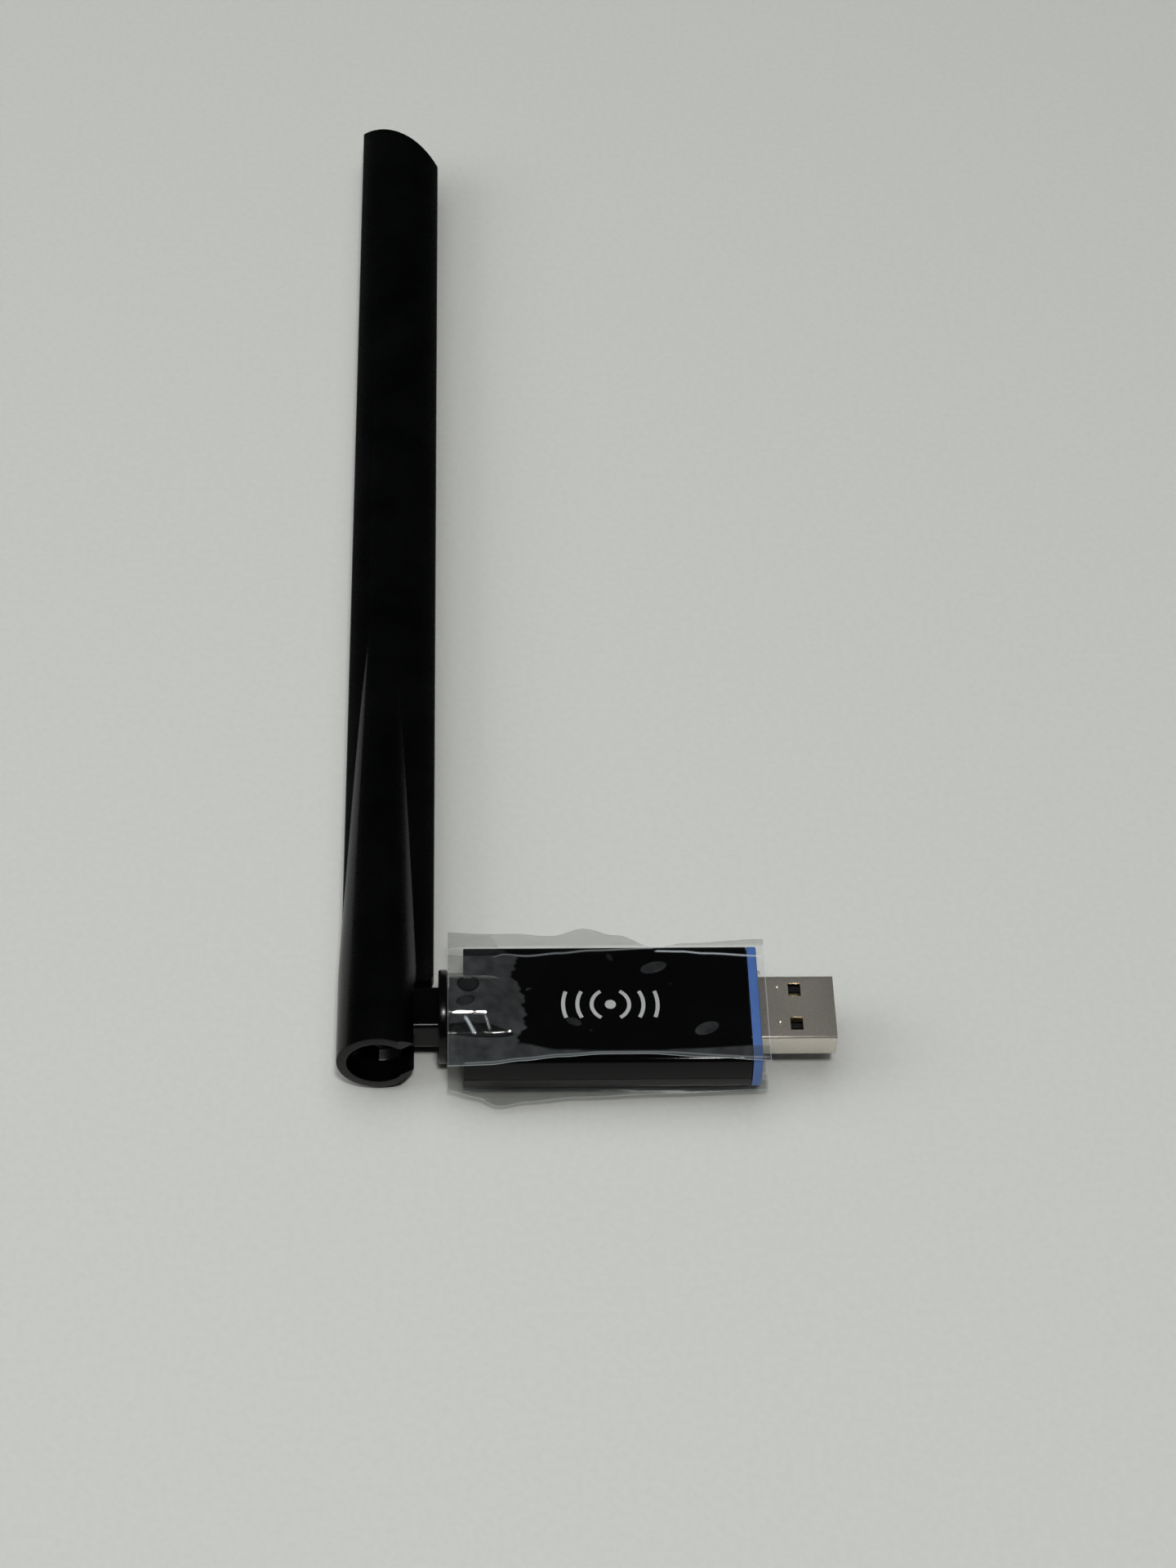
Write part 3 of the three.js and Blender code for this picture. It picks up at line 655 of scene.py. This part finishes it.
    def round_seam(self, piece: bpy.types.Object) -> None:
        """Rounds a cover's outer rim along the parting line, which catches the light there."""
        near = self.half_width - 0.06
        level = edge_test(lambda p: abs(p.z - self.parting) < self.seam + 0.01 and abs(p.y) > near)
        bevel_edges(piece, lambda e: level(e) and abs(e.verts[0].co.x - e.verts[1].co.x) > MM, 0.14, 3, False)

    def trim(self) -> None:
        """Models the blue end trim with its opening for the plug."""
        face = self.bezel_high.x
        piece = self.drafted_block("end_trim", face - 1.45, face)
        rim = edge_test(lambda p: p.x > face - 0.01)
        bevel_edges(piece, rim, 0.2, 3)
        room = 0.12
        opening = block(
            "opening",
            (face - 3, self.plug_low.y - room, self.plug_low.z - room),
            (face + 1, self.plug_high.y + room, self.plug_high.z + room),
        )
        bevel_edges(opening, lambda e: abs(e.verts[0].co.x - e.verts[1].co.x) > MM, self.plug_corner + room, 4)
        combine(piece, opening)
        smooth(piece, 25)
        hand_over(piece, self.body, self.palette.blue, ("end_bezel",))

    def plug(self) -> None:
        """Models the drawn metal plug with its latch windows, pips and folded seam."""
        piece = block("usb_plug_shell", tuple(self.plug_low), tuple(self.plug_high))
        along = lambda e: abs(e.verts[0].co.x - e.verts[1].co.x) > MM
        bevel_edges(piece, along, self.plug_corner, 4)
        tip = self.plug_high.x
        with editing(piece):
            choose(piece, Select.FACES, lambda f: abs(f.normal.x) > 0.9)
            bpy.ops.mesh.delete(type="FACE")
        apply_modifier(piece, "SOLIDIFY", thickness=self.plug_wall * MM, offset=-1.0)
        middle = (self.plug_low.z + self.plug_high.z) / 2
        for side in (-1, 1):
            end = tip - 5.16
            window = block(
                "window", (end - 1.95, side * 3.25 - 1.25, middle - 4), (end, side * 3.25 + 1.25, middle + 4)
            )
            bevel_edges(window, lambda e: abs(e.verts[0].co.z - e.verts[1].co.z) > MM, 0.12, 2)
            combine(piece, window)
        for x, y in ((61.9, 3.5), (62.0, -3.2)):
            deselect_all()
            bpy.ops.mesh.primitive_uv_sphere_add(
                segments=32, ring_count=20, radius=0.62 * MM, location=at(x, y, self.plug_high.z + 0.40)
            )
            combine(piece, bpy.context.object)
        seam = block(
            "seam", (self.plug_low.x - 1, -0.05, self.plug_low.z - 1), (tip + 1, 0.05, self.plug_low.z + 0.12)
        )
        combine(piece, seam)
        rim = edge_test(lambda p: p.x > tip - 0.01)
        bevel_edges(piece, rim, 0.08, 2)
        tidy_mesh(piece)
        smooth(piece, 30)
        hand_over(piece, self.body, self.palette.nickel, ("usb_shell",))

    def printed_mark(self) -> None:
        """Models the printed signal mark: a dot with waves to each side."""
        centre = (35.8, -0.4)
        height = 2.5
        thickness = 0.02
        stroke = 0.6
        level = self.top + 0.01
        piece = bar("printed_signal_mark", Axis.Z, 0.85, level, level + thickness, (*centre, 0), 48)
        for radius in (2.9, 5.1, 7.3):
            spread = math.asin(min(height / radius, 0.92))
            for side in (1, -1):
                start = spread if side > 0 else math.pi + spread
                wave = block(
                    "wave",
                    (centre[0] + radius - stroke / 2, centre[1] - 0.01, level),
                    (centre[0] + radius + stroke / 2, centre[1] + 0.01, level + thickness),
                )
                with editing(wave):
                    choose(wave, Select.FACES, facing(1, 1))
                    bpy.ops.mesh.spin(
                        steps=14, angle=2 * spread, center=at(*centre, level), axis=(0, 0, 1)
                    )
                    bpy.ops.mesh.select_all(action="SELECT")
                    bpy.ops.mesh.remove_doubles(threshold=0.001 * MM)
                    bpy.ops.mesh.normals_make_consistent(inside=False)
                turn = Matrix.Translation(at(*centre, level)) @ Matrix.Rotation(start, 4, "Z")
                wave.data.transform(turn @ Matrix.Translation(-at(*centre, level)))
                activate(piece)
                wave.select_set(True)
                bpy.ops.object.join()
        smooth(piece, 30)
        hand_over(piece, self.body, self.palette.print_silver)

    def build(self) -> None:
        """Builds every piece of the body."""
        self.covers()
        self.trim()
        self.plug()
        self.printed_mark()


# ---- The swivel ----


@dataclass
class Swivel:
    """The knuckle: a round flange, the spigot that turns in the body and the tongue that the antenna tilts on."""

    palette: Palette
    body: str = "swivel"
    tongue_width: float = 7.9
    tongue_thickness: float = 5.9
    tongue_edge: float = 0.9
    trunnion_radius: float = 1.8
    trunnion_top: float = 4.9
    lead_bore: float = 1.05

    def __post_init__(self) -> None:
        """Reads the flange and the shaft from the frame."""
        low, high = node_box("swivel_knuckle")
        self.flange_radius = high.z
        self.flange_start = 9.3
        self.flange_end = 10.7
        self.shaft_end = high.x

    def flange_and_shaft(self) -> bpy.types.Object:
        """Returns the turned part of the knuckle."""
        piece = bar("swivel_knuckle_body", Axis.X, self.flange_radius, self.flange_start, self.flange_end, sides=128)
        rims = edge_test(lambda p: math.hypot(p.y, p.z) > self.flange_radius - 0.01)
        bevel_edges(piece, lambda e: rims(e) and abs(e.verts[0].co.x - e.verts[1].co.x) < MM / 10, 0.28, 4)
        radius = self.flange_radius - 0.28
        steps = ((4.6, 0.8), (3.0, self.shaft_end - self.flange_end - 0.8))
        with editing(piece):
            choose(piece, Select.FACES, facing(0, 1))
            for target, length in steps:
                bpy.ops.mesh.inset(thickness=(radius - target) * MM, use_even_offset=True)
                bpy.ops.mesh.extrude_region_move(TRANSFORM_OT_translate={"value": (length * MM, 0, 0)})
                radius = target
        return piece

    def tongue(self) -> bpy.types.Object:
        """Returns the flat tongue with its round end about the tilt axis."""
        half = self.tongue_thickness / 2
        piece = bar("tongue", Axis.Z, self.tongue_width / 2, -half, half, sides=96)
        bisect(piece, at(0, 0, 0), (1, 0, 0), False)
        root = self.flange_start + 0.3
        with editing(piece):
            choose(piece, Select.FACES, facing(0, 1))
            bpy.ops.mesh.extrude_region_move(TRANSFORM_OT_translate={"value": (root * MM, 0, 0)})
        rims = edge_test(lambda p: abs(abs(p.z) - half) < 0.01)
        inside = edge_test(lambda p: abs(p.x) < 0.01)
        at_root = edge_test(lambda p: p.x > root - 0.01)

        def rounded(edge: object) -> bool:
            """Says whether an edge runs along the outline of one of the two flat faces."""
            level = abs(edge.verts[0].co.z - edge.verts[1].co.z) < MM / 10
            return level and rims(edge) and not inside(edge) and not at_root(edge)

        bevel_edges(piece, rounded, self.tongue_edge, 5, False)
        return piece

    def build(self) -> None:
        """Models the knuckle as one moulding."""
        piece = self.flange_and_shaft()
        trunnions = bar("trunnions", Axis.Z, self.trunnion_radius, -self.trunnion_top, self.trunnion_top, sides=48)
        combine(piece, self.tongue(), trunnions, how="UNION")
        bore = bar("lead_way", Axis.X, self.lead_bore, 0, self.shaft_end + 1, sides=32)
        slot = block("slot", (-8, -self.lead_bore, -self.lead_bore), (self.lead_bore, 8, self.lead_bore))
        combine(piece, bore, slot)
        tidy_mesh(piece)
        smooth(piece, 30)
        hand_over(piece, self.body, self.palette.knuckle_black, ("swivel_knuckle",))


# ---- The antenna ----


@dataclass
class Antenna:
    """The two antenna shells: a crowned blade with a tube at its foot that tapers away along it."""

    palette: Palette
    body: str = "antenna"
    blade_offset: float = 1.25
    blade_width: float = 14.5
    blade_thickness: float = 7.4
    blade_start: float = 5.2
    crown_radius: float = 10.95
    edge: float = 0.9
    tube_radius: float = 6.4
    tube_bore: float = 4.85
    tube_end: float = -8.7
    tube_full: float = 7.8
    cone_end: float = 100.0
    cone_end_radius: float = 3.2
    tip_radius: float = 22.0
    tip_centre: tuple[float, float] = (-10.13, 191.1)
    seam: float = 0.04

    def __post_init__(self) -> None:
        """Reads the antenna's reach from the frame."""
        self.tip = node_box("antenna_front_shell")[1].y

    def blade(self) -> bpy.types.Object:
        """Returns the crowned blade with its slanted tip and round wing end."""
        drop = self.crown_radius - self.blade_thickness / 2
        middle = self.blade_offset
        faces = [
            bar("crown", Axis.Y, self.crown_radius, self.blade_start, self.tip + 2, (middle, 0, side * drop), 160)
            for side in (-1, 1)
        ]
        half = self.blade_width / 2
        blank = block("blade", (middle - half, self.blade_start, -6), (middle + half, self.tip + 1, 6))
        combine(blank, *faces, how="INTERSECT")
        sides = edge_test(lambda p: abs(abs(p.x - middle) - half) < 0.01)
        bevel_edges(blank, lambda e: sides(e) and abs(e.verts[0].co.y - e.verts[1].co.y) > MM, self.edge, 5)
        self.cut_tip(blank)
        self.round_wing(blank)
        return blank

    def cut_tip(self, blank: bpy.types.Object) -> None:
        """Cuts the blade's end to its slanted, crowned outline."""
        x, y = self.tip_centre
        cutter = block("tip_cutter", (-12, y, -8), (16, self.tip + 8, 8))
        keep = bar("tip_keep", Axis.Z, self.tip_radius, -9, 9, (x, y, 0), 256)
        combine(cutter, keep)
        combine(blank, cutter)
        corner_x = self.blade_offset - self.blade_width / 2
        corner = edge_test(lambda p: p.x < corner_x + 0.02 and p.y > self.tip - 3)
        bevel_edges(blank, lambda e: corner(e) and abs(e.verts[0].co.z - e.verts[1].co.z) > MM / 20, 1.3, 4)

    def round_wing(self, blank: bpy.types.Object) -> None:
        """Rounds the corner of the wing's end beside the tube."""
        right = self.blade_offset + self.blade_width / 2
        radius = 2.6
        cutter = block("wing_cutter", (right - radius, self.blade_start - 1, -6), (right + 1, self.blade_start + radius, 6))
        keep = bar("wing_keep", Axis.Z, radius, -7, 7, (right - radius, self.blade_start + radius, 0), 96)
        combine(cutter, keep)
        combine(blank, cutter)

    def tube(self) -> bpy.types.Object:
        """Returns the tube with the long cone that sinks into the blade."""
        piece = bar("antenna_case", Axis.Y, self.tube_radius, self.tube_end, self.tube_full, sides=128)
        ratio = self.cone_end_radius / self.tube_radius
        with editing(piece):
            choose(piece, Select.FACES, facing(1, 1))
            bpy.ops.mesh.extrude_region_move(
                TRANSFORM_OT_translate={"value": (0, (self.cone_end - self.tube_full) * MM, 0)}
            )
            bpy.ops.transform.resize(value=(ratio, 1, ratio), center_override=at(0, self.cone_end, 0))
        rim = edge_test(lambda p: p.y < self.tube_end + 0.01)
        bevel_edges(piece, rim, 0.25, 3)
        return piece

    def room_for_knuckle(self) -> list[bpy.types.Object]:
        """Returns the solids that are cut out of the tube for the knuckle and its swing."""
        reach = 17.0
        half = 4.3
        high = 3.3
        bore = bar("bore", Axis.Y, self.tube_bore, self.tube_end - 1, half, sides=96)
        swing = block("swing", (0, -reach, -high), (reach, half, high))
        hub = bar("hub", Axis.Z, half, -high, high, sides=96)
        corner = block("corner", (0, -reach, -reach), (reach, 0, reach))
        combine(corner, bar("flange_path", Axis.Z, 9.2, -reach - 1, reach + 1, sides=192))
        sockets = bar("sockets", Axis.Z, 2.1, -5.2, 5.2, sides=48)
        washers = bar("washer_room", Axis.Z, 3.25, -4.15, 4.15, sides=64)
        sight = block("sight_window", (0, -4.75, -13), (3.0, -1.5, -high))
        return [bore, swing, hub, corner, sockets, washers, sight]

    def board_pocket(self) -> list[bpy.types.Object]:
        """Returns the solids that are cut out for the lead and the antenna board."""
        lead_way = bar("lead_way", Axis.Y, 1.05, 0, 20, sides=32)
        pocket = block("pocket", (self.blade_offset - 4.4, 18, -1.5), (self.blade_offset + 4.4, 196, 1.9))
        return [lead_way, pocket]

    def build(self) -> None:
        """Models the antenna as one case and parts it into its front and back shells."""
        case = self.tube()
        combine(case, self.blade(), how="UNION")
        combine(case, *self.room_for_knuckle(), *self.board_pocket())
        tidy_mesh(case)
        back = copy_of(case, "antenna_back_half")
        case.name = "antenna_front_half"
        bisect(case, at(0, 0, self.seam), (0, 0, 1), True)
        bisect(back, at(0, 0, -self.seam), (0, 0, 1), False)
        for piece, node in ((case, "antenna_front_shell"), (back, "antenna_back_shell")):
            smooth(piece, 22)
            hand_over(piece, self.body, self.palette.satin_black, (node,))


# ---- The protective films ----


def wave(x: np.ndarray, places: list[tuple[float, float]]) -> np.ndarray:
    """Returns a smooth line through a few places, held level past its ends.

    Args:
        x: Where the line is wanted.
        places: The (x, value) places that it passes through.
    """
    at_x, values = np.array(places, float).T
    index = np.clip(np.searchsorted(at_x, x) - 1, 0, len(at_x) - 2)
    t = np.clip((x - at_x[index]) / (at_x[index + 1] - at_x[index]), 0, 1)
    ease = t * t * (3 - 2 * t)
    return values[index] + (values[index + 1] - values[index]) * ease


def soft_step(value: np.ndarray, low: float, high: float) -> np.ndarray:
    """Returns 0 below one value and 1 above another, with a smooth rise between them."""
    t = np.clip((value - low) / (high - low), 0, 1)
    return t * t * (3 - 2 * t)


@dataclass(frozen=True)
class Bubble:
    """An air bubble under the film."""

    x: float
    y: float
    length: float
    width: float
    turn: float = 0.0  # degrees
    strength: float = 0.75

    def painted_air_gap_veil(self, x: np.ndarray, y: np.ndarray) -> np.ndarray:
        """Returns how strongly the bubble's air gap shows the painted reflection veil at each place."""
        angle = math.radians(self.turn)
        along = (x - self.x) * math.cos(angle) + (y - self.y) * math.sin(angle)
        across = (y - self.y) * math.cos(angle) - (x - self.x) * math.sin(angle)
        distance = np.hypot(along / (self.length / 2), across / (self.width / 2))
        body = 1 - soft_step(distance, 0.85, 1.05)
        rim = np.exp(-(((distance - 0.92) / 0.08) ** 2))
        return self.strength * np.clip(0.7 * body + 0.5 * rim, 0, 1)


@dataclass(frozen=True)
class PaintedCreaseHighlight:
    """A sharp fold in the film, shown only as a painted white highlight along a line."""

    path: tuple[tuple[float, float], ...]
    width: float = 0.11
    strength: float = 0.5

    def painted_light(self, x: np.ndarray, y: np.ndarray) -> np.ndarray:
        """Returns the painted highlight that the crease gives the film at each place."""
        line = wave(x, list(self.path))
        first, last = self.path[0][0], self.path[-1][0]
        span = soft_step(x, first - 0.1, first + 0.5) * (1 - soft_step(x, last - 0.5, last + 0.1))
        return self.strength * np.exp(-(((y - line) / self.width) ** 2)) * span


@dataclass
class Film:
    """A clear film laid on a face of the body, tented over the swivel barrel and waving free past the edges."""

    palette: Palette
    name: str
    node: str
    side: int  # 1 on the top face, -1 on the bottom face
    rests_on: str
    near: list[tuple[float, float]]  # the near edge's place across the body, along it
    far: list[tuple[float, float]]  # the far edge's
    near_lift: list[tuple[float, float]]  # how far the near edge stands off the face, along it
    far_lift: list[tuple[float, float]]
    cling_start: list[tuple[float, float]] = field(default_factory=list)
    bubbles: tuple[Bubble, ...] = ()
    contacts: tuple[Bubble, ...] = ()  # where the lifted film touches down and is clear again
    # painted white highlights along the film's folds and ridges
    painted_crease_highlights: tuple[PaintedCreaseHighlight, ...] = ()
    body: str = "adapter_body"
    start: float = 10.7
    end: float = 60.1
    thickness: float = 0.05
    columns: int = 280
    rows: int = 150

    def build(self) -> None:
        low, high = node_box("end_bezel")
        face = high.z if self.side > 0 else -low.z
        deselect_all()
        bpy.ops.mesh.primitive_grid_add(x_subdivisions=self.columns, y_subdivisions=self.rows, size=2)
        piece = bpy.context.object
        piece.name = self.name
        count = len(piece.data.vertices)
        flat = np.empty(count * 3)
        piece.data.vertices.foreach_get("co", flat)
        flat = flat.reshape(-1, 3)
        along = (flat[:, 0] + 1) / 2
        across = (flat[:, 1] + 1) / 2
        x = self.start + (self.end - self.start) * along
        near, far = wave(x, self.near), wave(x, self.far)
        y = near + (far - near) * across
        edge = 10.1
        lift = soft_step(-y, edge - 0.6, 12.5) * wave(x, self.near_lift)
        lift = lift + soft_step(y, edge + 0.3, 13.6) * wave(x, self.far_lift)
        z = face + 0.06 + self.tent(x, y, face) + lift
        z = z + 0.05 * self.painted_air_gap_veil(x, y)
        co = np.stack([x, y, self.side * z], 1) * MM + np.array(HINGE)
        piece.data.vertices.foreach_set("co", co.ravel())
        # Stores the mask of the painted reflection veil and the painted edge and fold highlights as attributes.
        self.paint(piece, "painted_air_gap_veil", self.painted_air_gap_veil(x, y))
        self.paint(piece, "painted_edge_and_fold_highlight", self.painted_edge_and_fold_highlights(x, y, near, far))
        piece.data.update()
        with editing(piece):
            bpy.ops.mesh.select_all(action="SELECT")
            if self.side < 0:
                bpy.ops.mesh.flip_normals()
        apply_modifier(piece, "SOLIDIFY", thickness=self.thickness * MM, offset=1.0)
        smooth(piece, 60)
        hand_over(piece, self.body, self.palette.film, (self.node,))

    def tent(self, x: np.ndarray, y: np.ndarray, face: float) -> np.ndarray:
        """Returns the film's height over the face where the barrel lifts it."""
        radius = 6.66
        round_way = np.sqrt(np.maximum(radius ** 2 - y ** 2, 0)) - face
        ridge = np.where(y > 0, np.maximum(round_way, (radius - face) * (1 - y / 10.2)), round_way)
        drop = 1 - soft_step(x, 16.4, 22.6)
        return np.maximum(ridge * drop, 0)

    def painted_air_gap_veil(self, x: np.ndarray, y: np.ndarray) -> np.ndarray:
        """Returns where the film stands free over an air gap, the mask of its painted reflection veil: 0 where it
        clings and 1 where it stands free.
        """
        edge = wave(y, self.cling_start) + 0.25 * np.sin(2.3 * y) + 0.15 * np.sin(5.1 * y + 1)
        free = 1 - soft_step(x, edge - 0.25, edge + 0.15)
        for contact in self.contacts:
            free = free * (1 - np.clip(1.4 * contact.painted_air_gap_veil(x, y), 0, 0.95))
        near_edge = wave(x, [(10.5, -6.7), (21, -7.7), (28, -9.0), (40, -9.5), (47, -9.0), (60, -8.4)])
        near = 1 - soft_step(y, near_edge - 0.25, near_edge + 0.25)
        past = soft_step(y, 10.6, 11.2)
        total = np.maximum.reduce([free, 0.95 * near, 0.75 * past])
        for bubble in self.bubbles:
            total = np.maximum(total, bubble.painted_air_gap_veil(x, y))
        return np.clip(total, 0, 1)

    def painted_edge_and_fold_highlights(self, x: np.ndarray, y: np.ndarray, near: np.ndarray, far: np.ndarray) -> np.ndarray:
        """Returns the painted highlights along the film's cut edges and its sharp folds."""
        # Painted highlights along the near and far cut edges and at the start and end of the film.
        cut_edge_highlight = np.maximum(np.exp(-(((y - near) / 0.12) ** 2)) * 0.35, np.exp(-(((far - y) / 0.1) ** 2)) * 0.16)
        start = np.exp(-(((x - self.start) / 0.12) ** 2)) * 0.14
        finish = np.exp(-(((self.end - x) / 0.12) ** 2)) * 0.25
        lines = [crease.painted_light(x, y) for crease in self.painted_crease_highlights]
        return np.clip(np.maximum.reduce([cut_edge_highlight, start, finish, *lines]), 0, 1)

    def paint(self, piece: bpy.types.Object, name: str, values: np.ndarray) -> None:
        """Stores a value for every vertex of the film."""
        attribute = piece.data.attributes.new(name, "FLOAT", "POINT")
        attribute.data.foreach_set("value", values.astype(np.float32))


def top_film(palette: Palette) -> Film:
    """Returns the film on the top face, which the maker's wrapping left slightly askew."""
    return Film(
        palette=palette,
        name="top_protective_film",
        node="protective_film_top",
        side=1,
        rests_on="body_top_cover",
        near=[(10.7, -11.8), (17, -11.7), (22, -11.1), (28, -10.4), (34.5, -9.9), (41, -9.9), (50, -10.6), (60.1, -11.4)],
        far=[(10.7, 13.9), (16, 13.6), (21, 13.7), (27, 13.1), (32, 14.4), (37, 13.0), (43, 10.5), (48, 11.3), (60.1, 12.1)],
        near_lift=[(10.7, -0.2), (30, 0.3), (60.1, 0.2)],
        far_lift=[(10.7, -0.3), (22, -0.5), (32, -0.2), (42, 0.0), (60.1, -0.2)],
        cling_start=[(-8, 21.2), (-4, 22.6), (1, 22.4), (5.5, 20.6), (8, 21.5), (12, 18)],
        bubbles=(
            Bubble(42.7, 6.6, 4.2, 2.0, 18),
            Bubble(50.5, -5.1, 3.9, 2.1, 24),
            Bubble(30.1, -3.7, 2.5, 1.2, -26, 0.55),
            Bubble(35.9, 8.6, 1.5, 0.8, -60, 0.4),
            Bubble(32.7, -5.3, 0.4, 0.35, 0, 0.5),
            Bubble(45.2, 3.4, 0.35, 0.3, 0, 0.4),
            Bubble(23.2, 2.6, 0.9, 0.4, 20, 0.5),
            Bubble(16.6, 6.9, 6.4, 3.6, 4, 0.7),
        ),
        contacts=(
            Bubble(13.9, 1.6, 3.5, 3.6),
            Bubble(15.5, -5.6, 11.0, 1.9, -4),
            Bubble(15.0, 9.8, 12.0, 2.2),
            Bubble(13.5, -1.6, 3.0, 1.6, 12, 0.6),
        ),
        # Painted highlights: white lines along the far folds, the ridges over the barrel and the near edge.
        painted_crease_highlights=(
            PaintedCreaseHighlight(((17.5, 8.4), (19.5, 9.2), (23, 9.0), (28, 9.5), (33, 10.0), (43, 10.4)), 0.11, 0.16),
            PaintedCreaseHighlight(((43, 9.8), (47, 9.7), (51, 9.3), (60.1, 8.7)), 0.10, 0.55),
            PaintedCreaseHighlight(((16.3, -3.75), (17.3, -5.3)), 0.2, 0.7),
            PaintedCreaseHighlight(((13.2, -4.0), (15.1, -5.7)), 0.22, 0.85),
            PaintedCreaseHighlight(((13, -11.3), (17, -11.2), (22, -10.6), (28, -9.9), (34.5, -9.5), (41, -9.5), (60.1, -10.7)), 0.2, 0.14),
        ),
    )


def bottom_film(palette: Palette) -> Film:
    """Returns the film on the bottom face."""
    return Film(
        palette=palette,
        name="bottom_protective_film",
        node="protective_film_bottom",
        side=-1,
        rests_on="body_bottom_cover",
        near=[(10.7, -10.9), (15, -11.9), (18.5, -13.4), (23, -12.6), (30, -12.0), (45, -11.6), (60.1, -11.2)],
        far=[(10.7, 11.6), (30, 12.0), (45, 11.4), (60.1, 11.6)],
        near_lift=[(10.7, 0.6), (18, 1.0), (60.1, 0.4)],
        far_lift=[(10.7, 0.5), (60.1, 0.4)],
        cling_start=[(-8, 21.0), (-4, 22.2), (1, 22.8), (5.5, 21.4), (12, 19)],
        bubbles=(Bubble(38.0, -3.0, 3.1, 1.8, -15), Bubble(47.5, 5.2, 2.2, 1.3, 30, 0.6)),
    )


# ---- Carried-over CAD nodes, light and camera ----


def dress_cad_nodes() -> None:
    """Gives each CAD node that stays in view the finish of its material slot."""
    slots = {part["node"]: part["material_slot"] for part in frame["record"]["subparts"]}
    materials = {slot: finish.material() for slot, finish in CAD_FINISHES.items()}
    for name, node in frame["nodes"].items():
        material = materials.get(slots[name])
        if material is None:
            continue
        if not node.data.materials:
            node.data.materials.append(material)
        node.active_material_index = 0
        for material_slot in node.material_slots:
            material_slot.link = "OBJECT"
            material_slot.material = material
        log.info("%s is dressed as %s", name, slots[name])


@dataclass
class Studio:
    """The table, the soft lights and the camera."""

    focal_length: float = 76.53
    sensor: float = 36.0
    elevation: float = 49.816
    azimuth: float = -3.073
    roll: float = 2.09
    target: tuple[float, float, float] = (0.0015, -0.0532, 0.0073)
    distance: float = 0.5474

    def table(self) -> None:
        """Lays the pale, flat table under the adapter."""
        deselect_all()
        bpy.ops.mesh.primitive_plane_add(size=60)
        piece = bpy.context.object
        piece.name = "table"
        piece.data.materials.append(TableFinish().material())

    def lamp(self, name: str, place: Colour, size: float, power: float, colour: Colour, mirrored: bool) -> None:
        """Adds a soft square lamp that points at the adapter.

        Args:
            name: The lamp's name.
            place: Where it hangs, in metres.
            size: Its width in metres.
            power: Its power in watts.
            colour: The colour of its light.
            mirrored: Whether it shows in glossy surfaces, or only lights matt ones.
        """
        data = bpy.data.lights.new(name, "AREA")
        data.size = size
        data.energy = power
        data.color = colour
        lamp = bpy.data.objects.new(name, data)
        lamp.location = place
        lamp.rotation_euler = (-Vector(place)).to_track_quat("-Z", "Y").to_euler()
        lamp.visible_glossy = mirrored
        bpy.context.scene.collection.objects.link(lamp)

    def lights(self) -> None:
        """Adds the soft studio light and the dim room round it."""
        self.lamp("key", (0.05, -0.64, 1.18), 0.13, 8.0, (1.0, 0.99, 0.96), True)
        self.lamp("window", (-1.25, 0.0, 0.85), 0.9, 7.5, (0.97, 0.99, 1.0), False)
        self.lamp("ceiling", (-0.06, 0.07, 0.95), 0.9, 3.6, (1.0, 1.0, 0.98), False)
        sky = bpy.data.lights.new("room_fill", "SUN")
        sky.energy = 0.5
        sky.angle = math.radians(75)
        fill = bpy.data.objects.new("room_fill", sky)
        fill.rotation_euler = (math.radians(-12), math.radians(-14), 0)
        fill.visible_glossy = False
        bpy.context.scene.collection.objects.link(fill)
        world = bpy.data.worlds.new("room")
        world.use_nodes = True
        background = world.node_tree.nodes["Background"]
        background.inputs["Color"].default_value = (0.90, 0.95, 1.0, 1)
        background.inputs["Strength"].default_value = 0.022
        bpy.context.scene.world = world

    def camera(self) -> None:
        """Sets the camera at its viewing angle."""
        high, turn = math.radians(self.elevation), math.radians(self.azimuth)
        back = Vector((math.sin(turn) * math.cos(high), -math.cos(turn) * math.cos(high), math.sin(high)))
        data = bpy.data.cameras.new("camera")
        data.lens = self.focal_length
        data.sensor_width = self.sensor
        data.clip_start = 0.01
        camera = bpy.data.objects.new("camera", data)
        camera.location = Vector(self.target) + back * self.distance
        aim = (-back).to_track_quat("-Z", "Y") @ Quaternion((0, 0, 1), math.radians(self.roll))
        camera.rotation_euler = aim.to_euler()
        bpy.context.scene.collection.objects.link(camera)
        bpy.context.scene.camera = camera

    def build(self) -> None:
        """Builds the whole studio."""
        self.table()
        self.lights()
        self.camera()
        bpy.context.scene.view_settings.view_transform = "Standard"


def main() -> None:
    """Builds the studio, every sub-assembly and the films, in order."""
    logging.basicConfig(level=logging.INFO, format="%(name)s: %(message)s")
    Studio().build()
    palette = Palette()
    dress_cad_nodes()
    PlugBody(palette).build()
    Swivel(palette).build()
    Antenna(palette).build()
    top_film(palette).build()
    bottom_film(palette).build()


if __name__ == "__main__":
    main()
